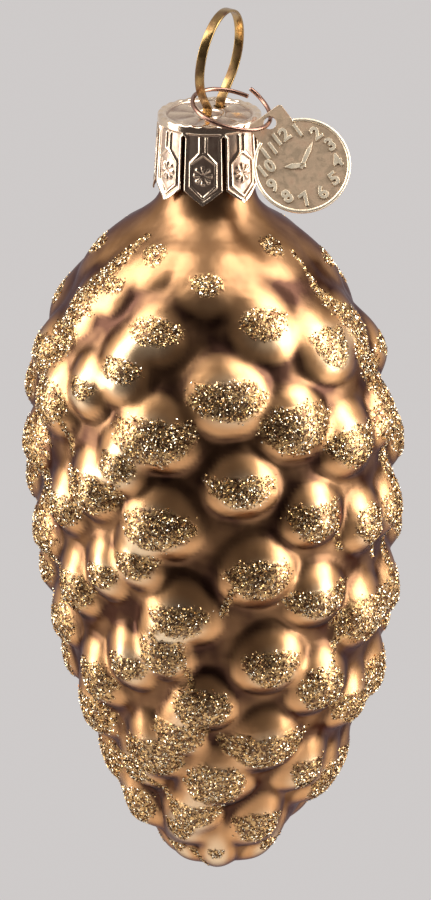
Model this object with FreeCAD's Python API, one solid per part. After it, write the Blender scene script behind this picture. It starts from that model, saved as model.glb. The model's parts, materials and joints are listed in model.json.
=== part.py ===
import FreeCAD, Part

import math
import os

# Pine cone ornament of blown glass, with a stamped cap, a hanger, a jump ring and a charm.
# Millimetres and degrees. The origin is the inside top of the hanger, where a hook bears.
# The front is -Y, the right is +X and the top is +Z.

Vector = FreeCAD.Vector
UP = Vector(0, 0, 1)

# Hanger: a flat strip bent to a loop, with two spring legs that go down inside the glass neck.
# It stands a little behind the cap's middle, so its far leg spreads less than its near one.
strip_width = 1.3
strip_thickness = 0.35
loop_radius = 6.4
shank_slope = 45.0
leg_offset = 2.2
pinch_height = 0.9
pinch_radius = 1.0
leg_drop = 2.6
leg_length = 8.5
near_splay = 26.0
far_splay = 9.0
splay_radius = 3.0
loop_turn = 24.0
loop_lean = 6.5
hanger_right = 0.55
hanger_back = 1.3

# Cap: thin stamped brass with a raised bead round its top plate and eight pointed leaves
cap_radius = 7.0
cap_flare = 0.7
cap_thickness = 0.3
bead_width = 0.8
bead_height = 0.2
bead_inner_slope = 0.3
bead_outer_slope = 0.2
leaf_count = 8
leaf_turn = -7.0
leaf_side = 8.9
leaf_point = 2.0
slit_width = 0.6
slit_top = 1.3
slot_clearance = 0.25

# Glass: a neck under the cap, and a long body that leans a little, as it was blown
neck_clearance = 0.7
neck_radius = cap_radius - cap_thickness - neck_clearance
neck_length = 12.25
neck_straight = 8.0
glass_wall = 0.8
body_length = 95.6
belly_radius = 23.6
sway_left = 0.5
sway_right = 2.2
sway_end = 0.89
sway_start = -4.0
sway_growth = 6.0
tip_bend = 0.9
tip_bend_start = 0.84

# Outline of the body between the scales, from the neck to the tip:
# share of the body's length, share of the belly's radius
body_outline = (
    (0.000, 0.31), (0.021, 0.40), (0.042, 0.52), (0.080, 0.66), (0.136, 0.80), (0.199, 0.93),
    (0.293, 0.995), (0.418, 1.00), (0.565, 0.94), (0.690, 0.845), (0.795, 0.675), (0.879, 0.505),
    (0.942, 0.36), (0.983, 0.20), (1.000, 0.00),
)

# Scales moulded on the glass: staggered rows of soft noses that wind slowly to the right
scale_height = 2.5
scale_width = 7.0
scale_nose = 4.3
scale_back = 7.8
first_row = 8.0
row_pitch = 6.45
row_drift = 0.26
scale_fullness = 1.5
fade_depth = 4.0
fade_length = 24.0
fade_least = 0.12
tip_fade = 10.0
widest_scale = 25.0
inner_relief = 0.5

# How unevenly the scales were moulded: depth, azimuth, smallest size and the spread above it
depth_spread = 1.2
azimuth_spread = 4.0
least_size = 0.88
size_spread = 0.24
uneven_steps = (12.9898, 78.233, 37.719)
uneven_stretch = 43758.5453

# Columns of scales in the even and the odd rows: azimuth, how far above its row, share of the width
even_columns = (
    (0.0, -0.6, 1.0), (45.0, 3.6, 1.0), (90.0, -1.5, 1.0), (135.0, 1.0, 1.0), (180.0, -0.6, 1.0),
    (-135.0, 0.8, 1.0), (-90.0, 0.4, 1.0), (-52.0, -1.6, 0.8), (-37.0, 2.0, 0.75),
)
odd_columns = (
    (22.5, 1.4, 1.0), (67.5, -1.8, 1.0), (112.5, 0.5, 1.0), (157.5, -0.8, 1.0), (-157.5, 0.6, 1.0),
    (-112.5, -0.8, 1.0), (-68.5, 1.0, 0.85), (-26.5, 0.4, 1.0),
)

# Net of flat facets that carries the scales
around_count = 56
down_count = 44
inner_count = 2
outline_step_count = 12

# Facets round the jump ring's wire and along its turn
wire_side_count = 12
wire_step_count = 44
facet_joining = 0.0001

# Jump ring: round wire round the hanger's near limb, its last part sprung out of plane
ring_radius = 5.4
ring_wire = 0.6
ring_right = 2.95
ring_front = 4.1
ring_lift = 1.7
ring_tilt = 14.0
ring_pitch = 10.0
ring_start = 67.0
ring_turn = 286.0
ring_spring_turn = 76.0
ring_spring_angle = 17.0

# Charm: a round stamped disc with a tab, hung on the jump ring
charm_radius = 6.6
charm_thickness = 0.55
charm_rim = 0.5
charm_recess = 0.15
tab_width = 5.4
tab_height = 2.7
tab_drop = 0.75
charm_hole = 1.75
charm_lean = 37.5
charm_pitch = 32.0
charm_yaw = 3.0
charm_place = 11.0
hole_drop = 0.15
mark_count = 12
mark_length = 1.0
mark_width = 0.35
mark_inset = 0.4
hand_width = 0.45
hour_hand = 2.4
minute_hand = 3.6
hour_angle = -60.0
minute_angle = 60.0


def turned(x, y, angle):
    """A point of the plane turned about the origin."""
    c = math.cos(math.radians(angle))
    s = math.sin(math.radians(angle))
    return x * c - y * s, x * s + y * c


# Hanger, in its own plane: x runs towards the near limb, z runs up from the cap's top plate


def loop_centre():
    """Height of the loop's centre above the cap's top plate."""
    slope = math.radians(shank_slope)
    shank = (loop_radius * math.cos(slope) - leg_offset) / math.sin(slope)
    return pinch_height + shank * math.cos(slope) + loop_radius * math.sin(slope)


def leg_path(splay_angle):
    """Centre line of the near leg, from its end to where the loop starts."""
    slope = math.radians(shank_slope)
    splay = math.radians(splay_angle)
    pinch_cut = pinch_radius * math.tan(slope / 2)
    splay_cut = splay_radius * math.tan(splay / 2)
    end = (leg_offset + leg_length * math.sin(splay), -leg_drop - leg_length * math.cos(splay))
    splay_in = (leg_offset + splay_cut * math.sin(splay), -leg_drop - splay_cut * math.cos(splay))
    splay_out = (leg_offset, -leg_drop + splay_cut)
    pinch_in = (leg_offset, pinch_height - pinch_cut)
    pinch_out = (leg_offset + pinch_cut * math.sin(slope), pinch_height + pinch_cut * math.cos(slope))
    shank_top = (loop_radius * math.cos(slope), loop_centre() - loop_radius * math.sin(slope))
    return [
        ("line", end, splay_in),
        ("arc", (leg_offset + splay_radius, -leg_drop + splay_cut), splay_radius, 180 + splay_angle, 180),
        ("line", splay_out, pinch_in),
        ("arc", (leg_offset + pinch_radius, pinch_height - pinch_cut), pinch_radius, 180, 180 - shank_slope),
        ("line", pinch_out, shank_top),
    ]


def hanger_path():
    """Centre line from the near leg's end over the loop to the far leg's end."""
    over = [("arc", (0, loop_centre()), loop_radius, -shank_slope, 180 + shank_slope)]
    return leg_path(near_splay) + over + [mirrored(piece) for piece in reversed(leg_path(far_splay))]


def mirrored(piece):
    """The same piece of path on the other side, run the other way."""
    if piece[0] == "line":
        _, start, end = piece
        return "line", (-end[0], end[1]), (-start[0], start[1])
    _, centre, radius, start, end = piece
    return "arc", (-centre[0], centre[1]), radius, 180 - end, 180 - start


def offset_edge(piece, shift):
    """Edge beside a piece of path, shifted to its left."""
    if piece[0] == "line":
        _, (x0, z0), (x1, z1) = piece
        length = math.hypot(x1 - x0, z1 - z0)
        nx = -(z1 - z0) / length * shift
        nz = (x1 - x0) / length * shift
        return Part.LineSegment(Vector(x0 + nx, 0, z0 + nz), Vector(x1 + nx, 0, z1 + nz)).toShape()
    _, (cx, cz), radius, start, end = piece
    radius -= shift if end > start else -shift
    points = []
    for angle in (start, (start + end) / 2, end):
        x, z = turned(radius, 0, angle)
        points.append(Vector(cx + x, 0, cz + z))
    return Part.Arc(*points).toShape()


def hanger_rise():
    """Height of the loop's inside top above the cap's top plate."""
    return loop_centre() + loop_radius - strip_thickness / 2


def hanger_foot():
    """Place between the legs on the cap's top plate, which the lean puts below and beside the origin."""
    side = hanger_rise() * math.sin(math.radians(loop_lean))
    x, y = turned(side, 0, -loop_turn)
    return Vector(-x, -y, -hanger_rise() * math.cos(math.radians(loop_lean)))


def cap_centre():
    """Middle of the cap's top plate."""
    return hanger_foot() - Vector(hanger_right, hanger_back, 0)


def stand(shape):
    """Turn and lean a shape made in the hanger's plane, and set it on the cap."""
    shape.rotate(Vector(0, 0, 0), Vector(1, 0, 0), -loop_lean)
    shape.rotate(Vector(0, 0, 0), UP, -90 - loop_turn)
    shape.translate(hanger_foot())
    return shape


def make_hanger():
    pieces = hanger_path()
    outer = [offset_edge(piece, -strip_thickness / 2) for piece in pieces]
    inner = [offset_edge(piece, strip_thickness / 2) for piece in pieces]
    ends = []
    for index in (0, -1):
        end = 0 if index == 0 else -1
        ends.append(Part.makeLine(outer[index].Vertexes[end].Point, inner[index].Vertexes[end].Point))
    outline = Part.Wire(Part.__sortEdges__(outer + inner + ends))
    strip = Part.Face(outline).extrude(Vector(0, strip_width, 0))
    strip.translate(Vector(0, -strip_width / 2, 0))
    return stand(strip)


# Cap


def cap_shell():
    """The cap before its leaves are cut: top plate, bead and flared skirt."""
    bottom = -leaf_side - leaf_point
    seat = cap_radius - bead_width
    flare = cap_flare / -bottom
    shoulder = bead_height / 2
    outside = [
        (0, 0),
        (seat, 0),
        (seat + bead_inner_slope, bead_height),
        (cap_radius - bead_outer_slope, bead_height),
        (cap_radius, -shoulder),
        (cap_radius + cap_flare, bottom),
    ]
    inside = [
        (cap_radius + cap_flare - cap_thickness, bottom),
        (cap_radius - cap_thickness + flare * cap_thickness, -cap_thickness),
        (0, -cap_thickness),
    ]
    points = [Vector(r, 0, z) for r, z in outside + inside]
    face = Part.Face(Part.makePolygon(points + points[:1]))
    return face.revolve(Vector(0, 0, 0), UP, 360)


def slit_cutter():
    """The gap between two leaves, which opens to the leaves' pointed ends."""
    half = slit_width / 2
    pitch = math.pi * (cap_radius + cap_flare) / leaf_count
    bottom = -leaf_side - leaf_point
    reach = cap_radius + cap_flare + cap_thickness
    outline = [
        (-half, -slit_top),
        (half, -slit_top),
        (half, -leaf_side),
        (pitch, bottom),
        (pitch, bottom - leaf_point),
        (-pitch, bottom - leaf_point),
        (-pitch, bottom),
        (-half, -leaf_side),
    ]
    points = [Vector(x, 0, z) for x, z in outline]
    return Part.Face(Part.makePolygon(points + points[:1])).extrude(Vector(0, -reach, 0))


def leg_slot(side):
    """Hole in the top plate for one leg of the hanger."""
    length = strip_width + 2 * slot_clearance
    width = strip_thickness + 2 * slot_clearance
    depth = 3 * cap_thickness
    slot = Part.makeBox(width, length, 2 * depth)
    slot.translate(Vector(side * leg_offset - width / 2, -length / 2, -depth))
    slot.rotate(Vector(0, 0, 0), UP, -90 - loop_turn)
    slot.translate(Vector(hanger_right, hanger_back, 0))
    return slot


def make_cap():
    cutters = []
    for index in range(leaf_count):
        cutter = slit_cutter()
        cutter.rotate(Vector(0, 0, 0), UP, leaf_turn + (index + 0.5) * 360 / leaf_count)
        cutters.append(cutter)
    cap = cap_shell().cut(cutters + [leg_slot(1), leg_slot(-1)])
    cap.translate(cap_centre())
    return cap


# Glass


def curve(points, x):
    """Smooth curve through points, taken at x."""
    slopes = [(b[1] - a[1]) / (b[0] - a[0]) for a, b in zip(points, points[1:])]
    ends = [slopes[0]] + [(a + b) / 2 for a, b in zip(slopes, slopes[1:])] + [slopes[-1]]
    for index, (start, stop) in enumerate(zip(points, points[1:])):
        if x <= stop[0] or stop is points[-1]:
            break
    span = stop[0] - start[0]
    t = (x - start[0]) / span
    value = (2 * t ** 3 - 3 * t ** 2 + 1) * start[1] + (3 * t ** 2 - 2 * t ** 3) * stop[1]
    return value + span * (t ** 3 - 2 * t ** 2 + t) * ends[index] + span * (t ** 3 - t ** 2) * ends[index + 1]


def outline_points():
    """Depth below the neck line and radius, from the neck's rim to the tip."""
    neck = [(-neck_length, neck_radius), (-neck_length + neck_straight, neck_radius)]
    return neck + [(share * body_length, part * belly_radius) for share, part in body_outline]


def stations(count):
    """Depth, radius and outward normal at even steps down the outline."""
    points = outline_points()
    fine = outline_step_count * count
    top, bottom = points[1][0], points[-1][0]
    depths = [top + (bottom - top) * k / fine for k in range(fine + 1)]
    radii = [max(0.0, curve(points[1:], depth)) for depth in depths]
    run = [0.0]
    for k in range(fine):
        run.append(run[-1] + math.hypot(depths[k + 1] - depths[k], radii[k + 1] - radii[k]))
    found = [(points[0][0], neck_radius, 0.0, 1.0)]
    k = 0
    for step in range(count):
        target = run[-1] * step / count
        while run[k + 1] < target:
            k += 1
        share = (target - run[k]) / (run[k + 1] - run[k])
        down = (depths[k + 1] - depths[k]) / (run[k + 1] - run[k])
        out = (radii[k + 1] - radii[k]) / (run[k + 1] - run[k])
        depth = depths[k] + share * (depths[k + 1] - depths[k])
        radius = radii[k] + share * (radii[k + 1] - radii[k])
        found.append((depth, radius, -out, down))
    return found


def uneven(row, column, salt):
    """A fixed value from 0 to 1 that differs from scale to scale."""
    row_step, column_step, salt_step = uneven_steps
    value = math.sin(row * row_step + column * column_step + salt * salt_step) * uneven_stretch
    return value - math.floor(value)


def make_scales():
    """Each scale: depth, azimuth, half width, reach below and above its nose, height."""
    scales = []
    for row in range(int((body_length - first_row) / row_pitch) + 1):
        columns = odd_columns if row % 2 else even_columns
        for column, (azimuth, rise, width) in enumerate(columns):
            depth = first_row + row * row_pitch - rise + depth_spread * (uneven(row, column, 1) - 0.5)
            turn = azimuth + row_drift * depth + azimuth_spread * (uneven(row, column, 2) - 0.5)
            size = least_size + size_spread * uneven(row, column, 3)
            grown = fade_least + (1 - fade_least) * (depth - fade_depth) / fade_length
            grown = min(1.0, grown, (body_length - depth) / tip_fade)
            if grown <= 0:
                continue
            radius = curve(outline_points(), min(depth, body_length)) + scale_height / 2
            half = min(scale_width * width * size, radius * math.radians(widest_scale))
            scales.append((depth, turn, half, scale_nose * size, scale_back * size,
                           scale_height * size * grown))
    return scales


def relief(scales, depth, radius, azimuth):
    """Height of the scales over the outline at one place."""
    total = 0.0
    for at_depth, turn, half, nose, back, height in scales:
        along = (at_depth - depth) / back if depth < at_depth else (depth - at_depth) / nose
        if along >= 1:
            continue
        away = (azimuth - turn + 180) % 360 - 180
        across = math.radians(away) * (radius + scale_height / 2) / half
        spread = along ** 2 + across ** 2
        if spread < 1:
            total += (height * (1 - spread) ** scale_fullness) ** 2
    return math.sqrt(total)


def sway(depth):
    """How far the body's middle lies to the right at a depth."""
    share = min(1.0, max(0.0, depth / (sway_end * body_length)))
    right = (sway_left + sway_right) * (1 - math.cos(math.pi * share)) / 2
    back = tip_bend * max(0.0, (depth / body_length - tip_bend_start) / (1 - tip_bend_start))
    return (right - sway_left - back) * min(1.0, max(0.0, (depth - sway_start) / sway_growth))


def skin(scales, around, down, inset, share):
    """Rows of points of one skin, and its tip."""
    rows = []
    places = stations(down)
    for number, (depth, radius, normal_down, normal_out) in enumerate(places):
        row = []
        for index in range(around):
            azimuth = 360.0 * (index + 0.5 * (number % 2)) / around - 180
            rise = share * relief(scales, depth, radius, azimuth) - inset
            at = depth + rise * normal_down
            r = max(0.0, radius + rise * normal_out)
            x = r * math.sin(math.radians(azimuth)) + sway(at)
            row.append((x, -r * math.cos(math.radians(azimuth)), -at))
        rows.append(row)
    depth = body_length - inset
    return rows, (sway(depth), 0.0, -depth)


def skin_facets(rows, first, tip):
    """Triangles of one skin, as places in the list of points."""
    count = len(rows[0])
    facets = []
    for number in range(len(rows) - 1):
        for index in range(count):
            here = first + number * count
            below = here + count
            after = (index + 1) % count
            if number % 2 == 0:
                facets.append((here + index, below + index, here + after))
                facets.append((here + after, below + index, below + after))
            else:
                facets.append((here + index, below + index, below + after))
                facets.append((here + index, below + after, here + after))
    last = first + (len(rows) - 1) * count
    for index in range(count):
        facets.append((last + index, tip, last + (index + 1) % count))
    return facets


def faceted(points, facets):
    """Solid inside a closed net of triangles."""
    net = Part.Shape()
    net.makeShapeFromMesh((points, facets), facet_joining)
    return Part.makeSolid(net)


def make_glass():
    """The hollow glass: outer skin, inner skin and the neck's open rim."""
    scales = make_scales()
    inner_around = around_count // inner_count
    outer, outer_tip = skin(scales, around_count, down_count, 0.0, 1.0)
    inner, inner_tip = skin(scales, inner_around, down_count // inner_count, glass_wall, inner_relief)

    points = [point for row in outer for point in row] + [outer_tip]
    inner_first = len(points)
    points += [point for row in inner for point in row] + [inner_tip]
    facets = skin_facets(outer, 0, inner_first - 1)
    facets += [(a, c, b) for a, b, c in skin_facets(inner, inner_first, len(points) - 1)]

    outer_count = inner_around * inner_count
    for index in range(inner_around):
        near = inner_first + index
        after = inner_first + (index + 1) % inner_around
        for step in range(inner_count):
            start = index * inner_count + step
            stop = (start + 1) % outer_count
            facets.append((start, stop, near if step < inner_count / 2 else after))
        middle = (index * inner_count + (inner_count + 1) // 2) % outer_count
        facets.append((near, middle, after))

    glass = faceted(points, facets)
    glass.translate(cap_centre() - Vector(0, 0, cap_thickness + neck_length))
    return glass


# Jump ring


def ring_centre():
    return cap_centre() + Vector(ring_right, -ring_front, ring_lift)


def ring_point(angle, radius):
    """A point in the ring's own plane; 0 degrees is its low right end."""
    x, y = turned(radius, 0, angle)
    return Vector(x, y, 0)


def on_ring(point):
    """A point of the ring's own plane, in its place on the cap."""
    tilt = FreeCAD.Rotation(Vector(0, 1, 0), ring_tilt)
    pitch = FreeCAD.Rotation(Vector(1, 0, 0), ring_pitch)
    return tilt.multVec(pitch.multVec(point)) + ring_centre()


def wire_point(turn, side):
    """A point on the skin of the ring's wire, at an angle along its turn and round its section."""
    x, z = turned(ring_wire / 2, 0, side)
    point = ring_point(ring_start + turn, ring_radius + x) + Vector(0, 0, z)
    if turn > ring_turn:
        joint = ring_start + ring_turn
        at = ring_point(joint, ring_radius)
        spring = FreeCAD.Rotation(ring_point(joint + 90, 1.0), ring_spring_angle)
        point = at + spring.multVec(point - at)
    return on_ring(point)


def make_jump_ring():
    whole = ring_turn + ring_spring_turn
    rows = []
    for step in range(wire_step_count + 1):
        turn = whole * step / wire_step_count
        sides = [(index + 0.5 * (step % 2)) * 360 / wire_side_count for index in range(wire_side_count)]
        rows.append([wire_point(turn, side) for side in sides])
    points = [tuple(point) for row in rows for point in row]
    facets = skin_facets(rows, 0, len(points))
    points.append(tuple(end_middle(rows[-1])))
    for index in range(wire_side_count):
        facets.append(((index + 1) % wire_side_count, len(points), index))
    points.append(tuple(end_middle(rows[0])))
    return faceted(points, [(a, c, b) for a, b, c in facets])


def end_middle(row):
    """Middle of the wire's cut end."""
    total = Vector(0, 0, 0)
    for point in row:
        total += point
    return total * (1 / len(row))


# Charm


def charm_pivot():
    """Middle of the ring's wire where it passes through the charm."""
    return on_ring(ring_point(-charm_place, ring_radius))


def charm_bar(width, length, from_centre, angle):
    """A raised bar on the charm's face, pointing away from the centre."""
    bar = Part.makeBox(width, charm_recess, length)
    bar.translate(Vector(-width / 2, -charm_thickness / 2, from_centre))
    bar.rotate(Vector(0, 0, 0), Vector(0, 1, 0), angle)
    return bar


def make_charm():
    """The charm upright about its disc's centre, then hung and leaned on its pivot."""
    back = Vector(0, charm_thickness / 2, 0)
    front = Vector(0, -charm_thickness / 2, 0)
    forward = Vector(0, -1, 0)
    hole_up = charm_radius + tab_drop
    disc = Part.makeCylinder(charm_radius, charm_thickness, back, forward)
    tab_foot = charm_radius / 2
    tab_top = hole_up + tab_height / 2
    tab = Part.makeBox(tab_width, charm_thickness, tab_top - tab_foot)
    tab.translate(Vector(-tab_width / 2, -charm_thickness / 2, tab_foot))
    face = Part.makeCylinder(charm_radius - charm_rim, charm_recess, front - forward * charm_recess, forward)
    hole = Part.makeCylinder(charm_hole / 2, charm_thickness, back + Vector(0, 0, hole_up), forward)

    marks = []
    reach = charm_radius - charm_rim - mark_inset - mark_length
    for index in range(mark_count):
        marks.append(charm_bar(mark_width, mark_length, reach, index * 360 / mark_count))
    marks.append(charm_bar(hand_width, hour_hand, 0, hour_angle))
    marks.append(charm_bar(hand_width, minute_hand, 0, minute_angle))

    charm = disc.fuse(tab).cut([face, hole]).fuse(marks).removeSplitter()
    charm.translate(Vector(0, 0, -hole_up - hole_drop))
    charm.rotate(Vector(0, 0, 0), Vector(0, 1, 0), -charm_lean)
    charm.rotate(Vector(0, 0, 0), Vector(1, 0, 0), -charm_pitch)
    charm.rotate(Vector(0, 0, 0), UP, -charm_yaw)
    charm.translate(charm_pivot())
    return charm


def main():
    os.makedirs("parts", exist_ok=True)
    makers = {
        "glass_body": make_glass,
        "cap": make_cap,
        "hanger_loop": make_hanger,
        "jump_ring": make_jump_ring,
        "charm": make_charm,
    }
    for name, make in makers.items():
        solid = make().Solids[0]
        print(name, "volume", round(solid.Volume, 2))
        solid.exportStep("parts/" + name + ".step")


main()
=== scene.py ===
"""Pine cone ornament of blown glass: glass, glitter, cap, hanger, jump ring, charm and stage."""

import json
import math

import bmesh
import bpy
import numpy as np
from bpy.props import FloatProperty, FloatVectorProperty, IntProperty, PointerProperty
from bpy.types import Operator, Panel, PropertyGroup
from mathutils import Matrix, Vector


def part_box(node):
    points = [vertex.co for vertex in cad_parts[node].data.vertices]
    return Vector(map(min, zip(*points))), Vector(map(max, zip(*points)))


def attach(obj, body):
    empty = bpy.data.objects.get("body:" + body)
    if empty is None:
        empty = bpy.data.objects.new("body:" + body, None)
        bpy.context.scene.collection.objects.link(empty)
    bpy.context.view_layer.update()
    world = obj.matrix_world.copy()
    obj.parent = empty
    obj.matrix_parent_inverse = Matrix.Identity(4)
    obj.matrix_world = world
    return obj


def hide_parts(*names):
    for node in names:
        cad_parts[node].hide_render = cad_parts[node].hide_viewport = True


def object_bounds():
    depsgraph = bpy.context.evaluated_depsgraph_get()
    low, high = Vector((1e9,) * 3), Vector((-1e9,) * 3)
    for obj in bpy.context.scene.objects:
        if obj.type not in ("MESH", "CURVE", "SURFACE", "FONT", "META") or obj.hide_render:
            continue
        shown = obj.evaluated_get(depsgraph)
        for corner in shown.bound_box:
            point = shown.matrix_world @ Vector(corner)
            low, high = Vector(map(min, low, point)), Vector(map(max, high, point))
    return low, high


bl_info = {
    "name": "Pine Cone Ornament",
    "version": (1, 0, 0),
    "blender": (4, 5, 0),
    "location": "View3D > Sidebar > Pine Cone",
    "description": "Builds a blown-glass pine cone ornament with its cap, hanger and charm",
    "category": "Object",
}

MM = 0.001

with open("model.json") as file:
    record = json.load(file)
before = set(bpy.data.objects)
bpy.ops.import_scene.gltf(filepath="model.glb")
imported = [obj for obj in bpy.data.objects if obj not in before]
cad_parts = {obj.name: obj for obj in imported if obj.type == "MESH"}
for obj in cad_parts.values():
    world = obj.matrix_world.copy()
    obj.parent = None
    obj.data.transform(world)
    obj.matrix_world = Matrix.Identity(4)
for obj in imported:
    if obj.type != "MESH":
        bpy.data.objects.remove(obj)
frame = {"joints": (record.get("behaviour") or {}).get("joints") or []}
cad_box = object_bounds()

# Places that come from the frame: the cap, which the rest is set out from, and the charm's joint
cap_low, cap_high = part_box("cap")
joints = {joint["name"]: joint for joint in frame["joints"]}
charm_pivot = Vector(joints["charm_swing"]["pos_m"])


def length(label, about, default):
    """A size in metres that a user may change."""
    return FloatProperty(name=label, description=about, default=default, unit="LENGTH", precision=5)


def angle(label, about, degrees):
    """An angle that a user may change."""
    return FloatProperty(name=label, description=about, default=math.radians(degrees), unit="ROTATION")


def colour(label, about, default):
    """A linear colour that a user may change."""
    return FloatVectorProperty(
        name=label, description=about, default=default, size=3, min=0, max=1, subtype="COLOR"
    )


# Sizes and colours


class GlassSizes(PropertyGroup):
    body_length: length("Body length", "From the neck line to the tip", 95.6 * MM)
    belly_radius: length("Belly radius", "Radius between the scales at the belly", 23.6 * MM)
    neck_radius: length("Neck radius", "Outside radius of the neck", 6 * MM)
    neck_length: length("Neck length", "From the neck's rim to the neck line", 12.25 * MM)
    neck_straight: length("Straight neck", "Part of the neck that is a plain tube", 8 * MM)
    wall: length("Wall", "Thickness of the glass", 0.8 * MM)
    scale_height: length("Scale height", "How far a scale stands proud", 2.5 * MM)
    scale_width: length("Scale half width", "Half the width of a full scale", 7 * MM)
    scale_nose: length("Scale nose", "From a scale's top to its lower edge", 4.3 * MM)
    scale_back: length("Scale back", "From a scale's top to its upper end", 7.8 * MM)
    first_row: length("First row", "Depth of the first row of scales", 8 * MM)
    row_pitch: length("Row pitch", "From row to row", 6.45 * MM)
    sway_left: length("Sway left", "Lean to the left at the shoulder", 0.5 * MM)
    sway_right: length("Sway right", "Lean to the right near the tip", 2.2 * MM)
    sunk: length("Sunk", "How far the skin lies inside the solid's", 0.14 * MM)
    lacquer: colour("Lacquer", "Copper-gold lacquer", (0.66, 0.36, 0.165))
    # Pale lacquer on the noses: thinner lacquer, and partly a painted highlight
    pale: colour("Pale lacquer", "Lacquer where it is thin on the noses", (0.90, 0.72, 0.48))
    # Painted shade in the creases, the valleys and on the shoulder, mixed with darker lacquer in the
    # valleys
    shade: colour("Shade", "Dark lacquer in the hollows", (0.055, 0.025, 0.018))
    # Painted reflection: grey where the lacquer is seen edge-on, for the pale backdrop reflected at grazing
    # angles
    edge: colour("Edge", "Grey tone of the lacquer seen edge-on", (0.34, 0.26, 0.25))


class GlitterSizes(PropertyGroup):
    grain: length("Grain", "Width of a grain", 0.36 * MM)
    spacing: length("Spacing", "Mean distance between grains", 0.26 * MM)
    gold: colour("Gold", "Most grains", (0.86, 0.56, 0.24))
    # Bright and brown grains are random tones, the bright ones partly painted glints and the brown ones
    # partly painted dark reflections
    bright: colour("Bright gold", "The palest grains", (1.0, 0.92, 0.70))
    brown: colour("Brown", "The darkest grains", (0.13, 0.06, 0.03))


class CapSizes(PropertyGroup):
    radius: length("Radius", "Outside radius at the top", 7 * MM)
    flare: length("Flare", "How much wider the leaves' ends are", 0.7 * MM)
    thickness: length("Thickness", "Thickness of the sheet", 0.3 * MM)
    bead_width: length("Bead width", "Width of the rim's bead", 0.8 * MM)
    bead_height: length("Bead height", "Height of the rim's bead", 0.2 * MM)
    leaf_side: length("Leaf side", "Straight side of a leaf", 8.9 * MM)
    leaf_point: length("Leaf point", "Length of a leaf's point", 2 * MM)
    slit_width: length("Slit", "Gap between two leaves", 0.6 * MM)
    slit_top: length("Slit top", "Depth at which the slits start", 1.3 * MM)
    stamping: length("Stamping", "Depth of the stamped pattern", 0.22 * MM)
    leaf_count: IntProperty(name="Leaves", description="Number of leaves", default=8)
    leaf_turn: angle("Leaf turn", "Azimuth of the front leaf", -7)
    brass: colour("Brass", "Champagne-coloured sheet", (0.93, 0.75, 0.56))
    # Tarnish: the cloudy tarnish patches, and the painted shade in the stamped recesses
    tarnish: colour("Tarnish", "Dark tone in the stamping", (0.19, 0.105, 0.09))


class HangerSizes(PropertyGroup):
    strip_width: length("Strip width", "Width of the flat strip", 1.3 * MM)
    strip_thickness: length("Strip thickness", "Thickness of the flat strip", 0.35 * MM)
    loop_radius: length("Loop radius", "Radius of the loop's centre line", 6.4 * MM)
    shank_slope: angle("Shank slope", "Slope of the shanks under the loop", 45)
    leg_offset: length("Leg offset", "From the middle to a leg", 2.2 * MM)
    pinch_height: length("Pinch height", "Height where the legs turn out", 0.9 * MM)
    pinch_radius: length("Pinch radius", "Radius of that bend", 1 * MM)
    leg_drop: length("Leg drop", "Depth where the legs spread", 2.6 * MM)
    leg_length: length("Leg length", "Length of a leg's spread end", 8.5 * MM)
    near_splay: angle("Near splay", "Spread of the near leg's end", 26)
    far_splay: angle("Far splay", "Spread of the far leg's end", 9)
    splay_radius: length("Splay radius", "Radius of that bend", 3 * MM)
    loop_turn: angle("Loop turn", "Turn of the loop about the vertical", 24)
    loop_lean: angle("Loop lean", "Lean of the loop", 6.5)
    right: length("Right", "Distance right of the cap's middle", 0.55 * MM)
    back: length("Back", "Distance behind the cap's middle", 1.3 * MM)
    gold: colour("Gold", "Gold strip", (0.43, 0.275, 0.105))
    tarnish: colour("Tarnish", "Dark tone of the strip", (0.10, 0.05, 0.03))


class RingSizes(PropertyGroup):
    radius: length("Radius", "Radius of the wire's centre line", 5.4 * MM)
    wire: length("Wire", "Diameter of the wire", 0.6 * MM)
    right: length("Right", "Centre's distance right of the cap's middle", 2.95 * MM)
    front: length("Front", "Centre's distance in front of the cap's middle", 4.1 * MM)
    lift: length("Lift", "Centre's height above the cap's plate", 1.7 * MM)
    tilt: angle("Tilt", "Tilt down to the right", 14)
    pitch: angle("Pitch", "Tilt down to the front", 10)
    start: angle("Start", "Where the wire starts", 67)
    turn: angle("Turn", "Turn of the flat part", 286)
    spring_turn: angle("Sprung turn", "Turn of the sprung part", 76)
    spring_angle: angle("Spring angle", "How far the sprung part is bent up", 17)
    copper: colour("Copper", "Dark copper wire", (0.34, 0.19, 0.14))
    tarnish: colour("Tarnish", "Dark tone of the wire", (0.07, 0.032, 0.024))


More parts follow.
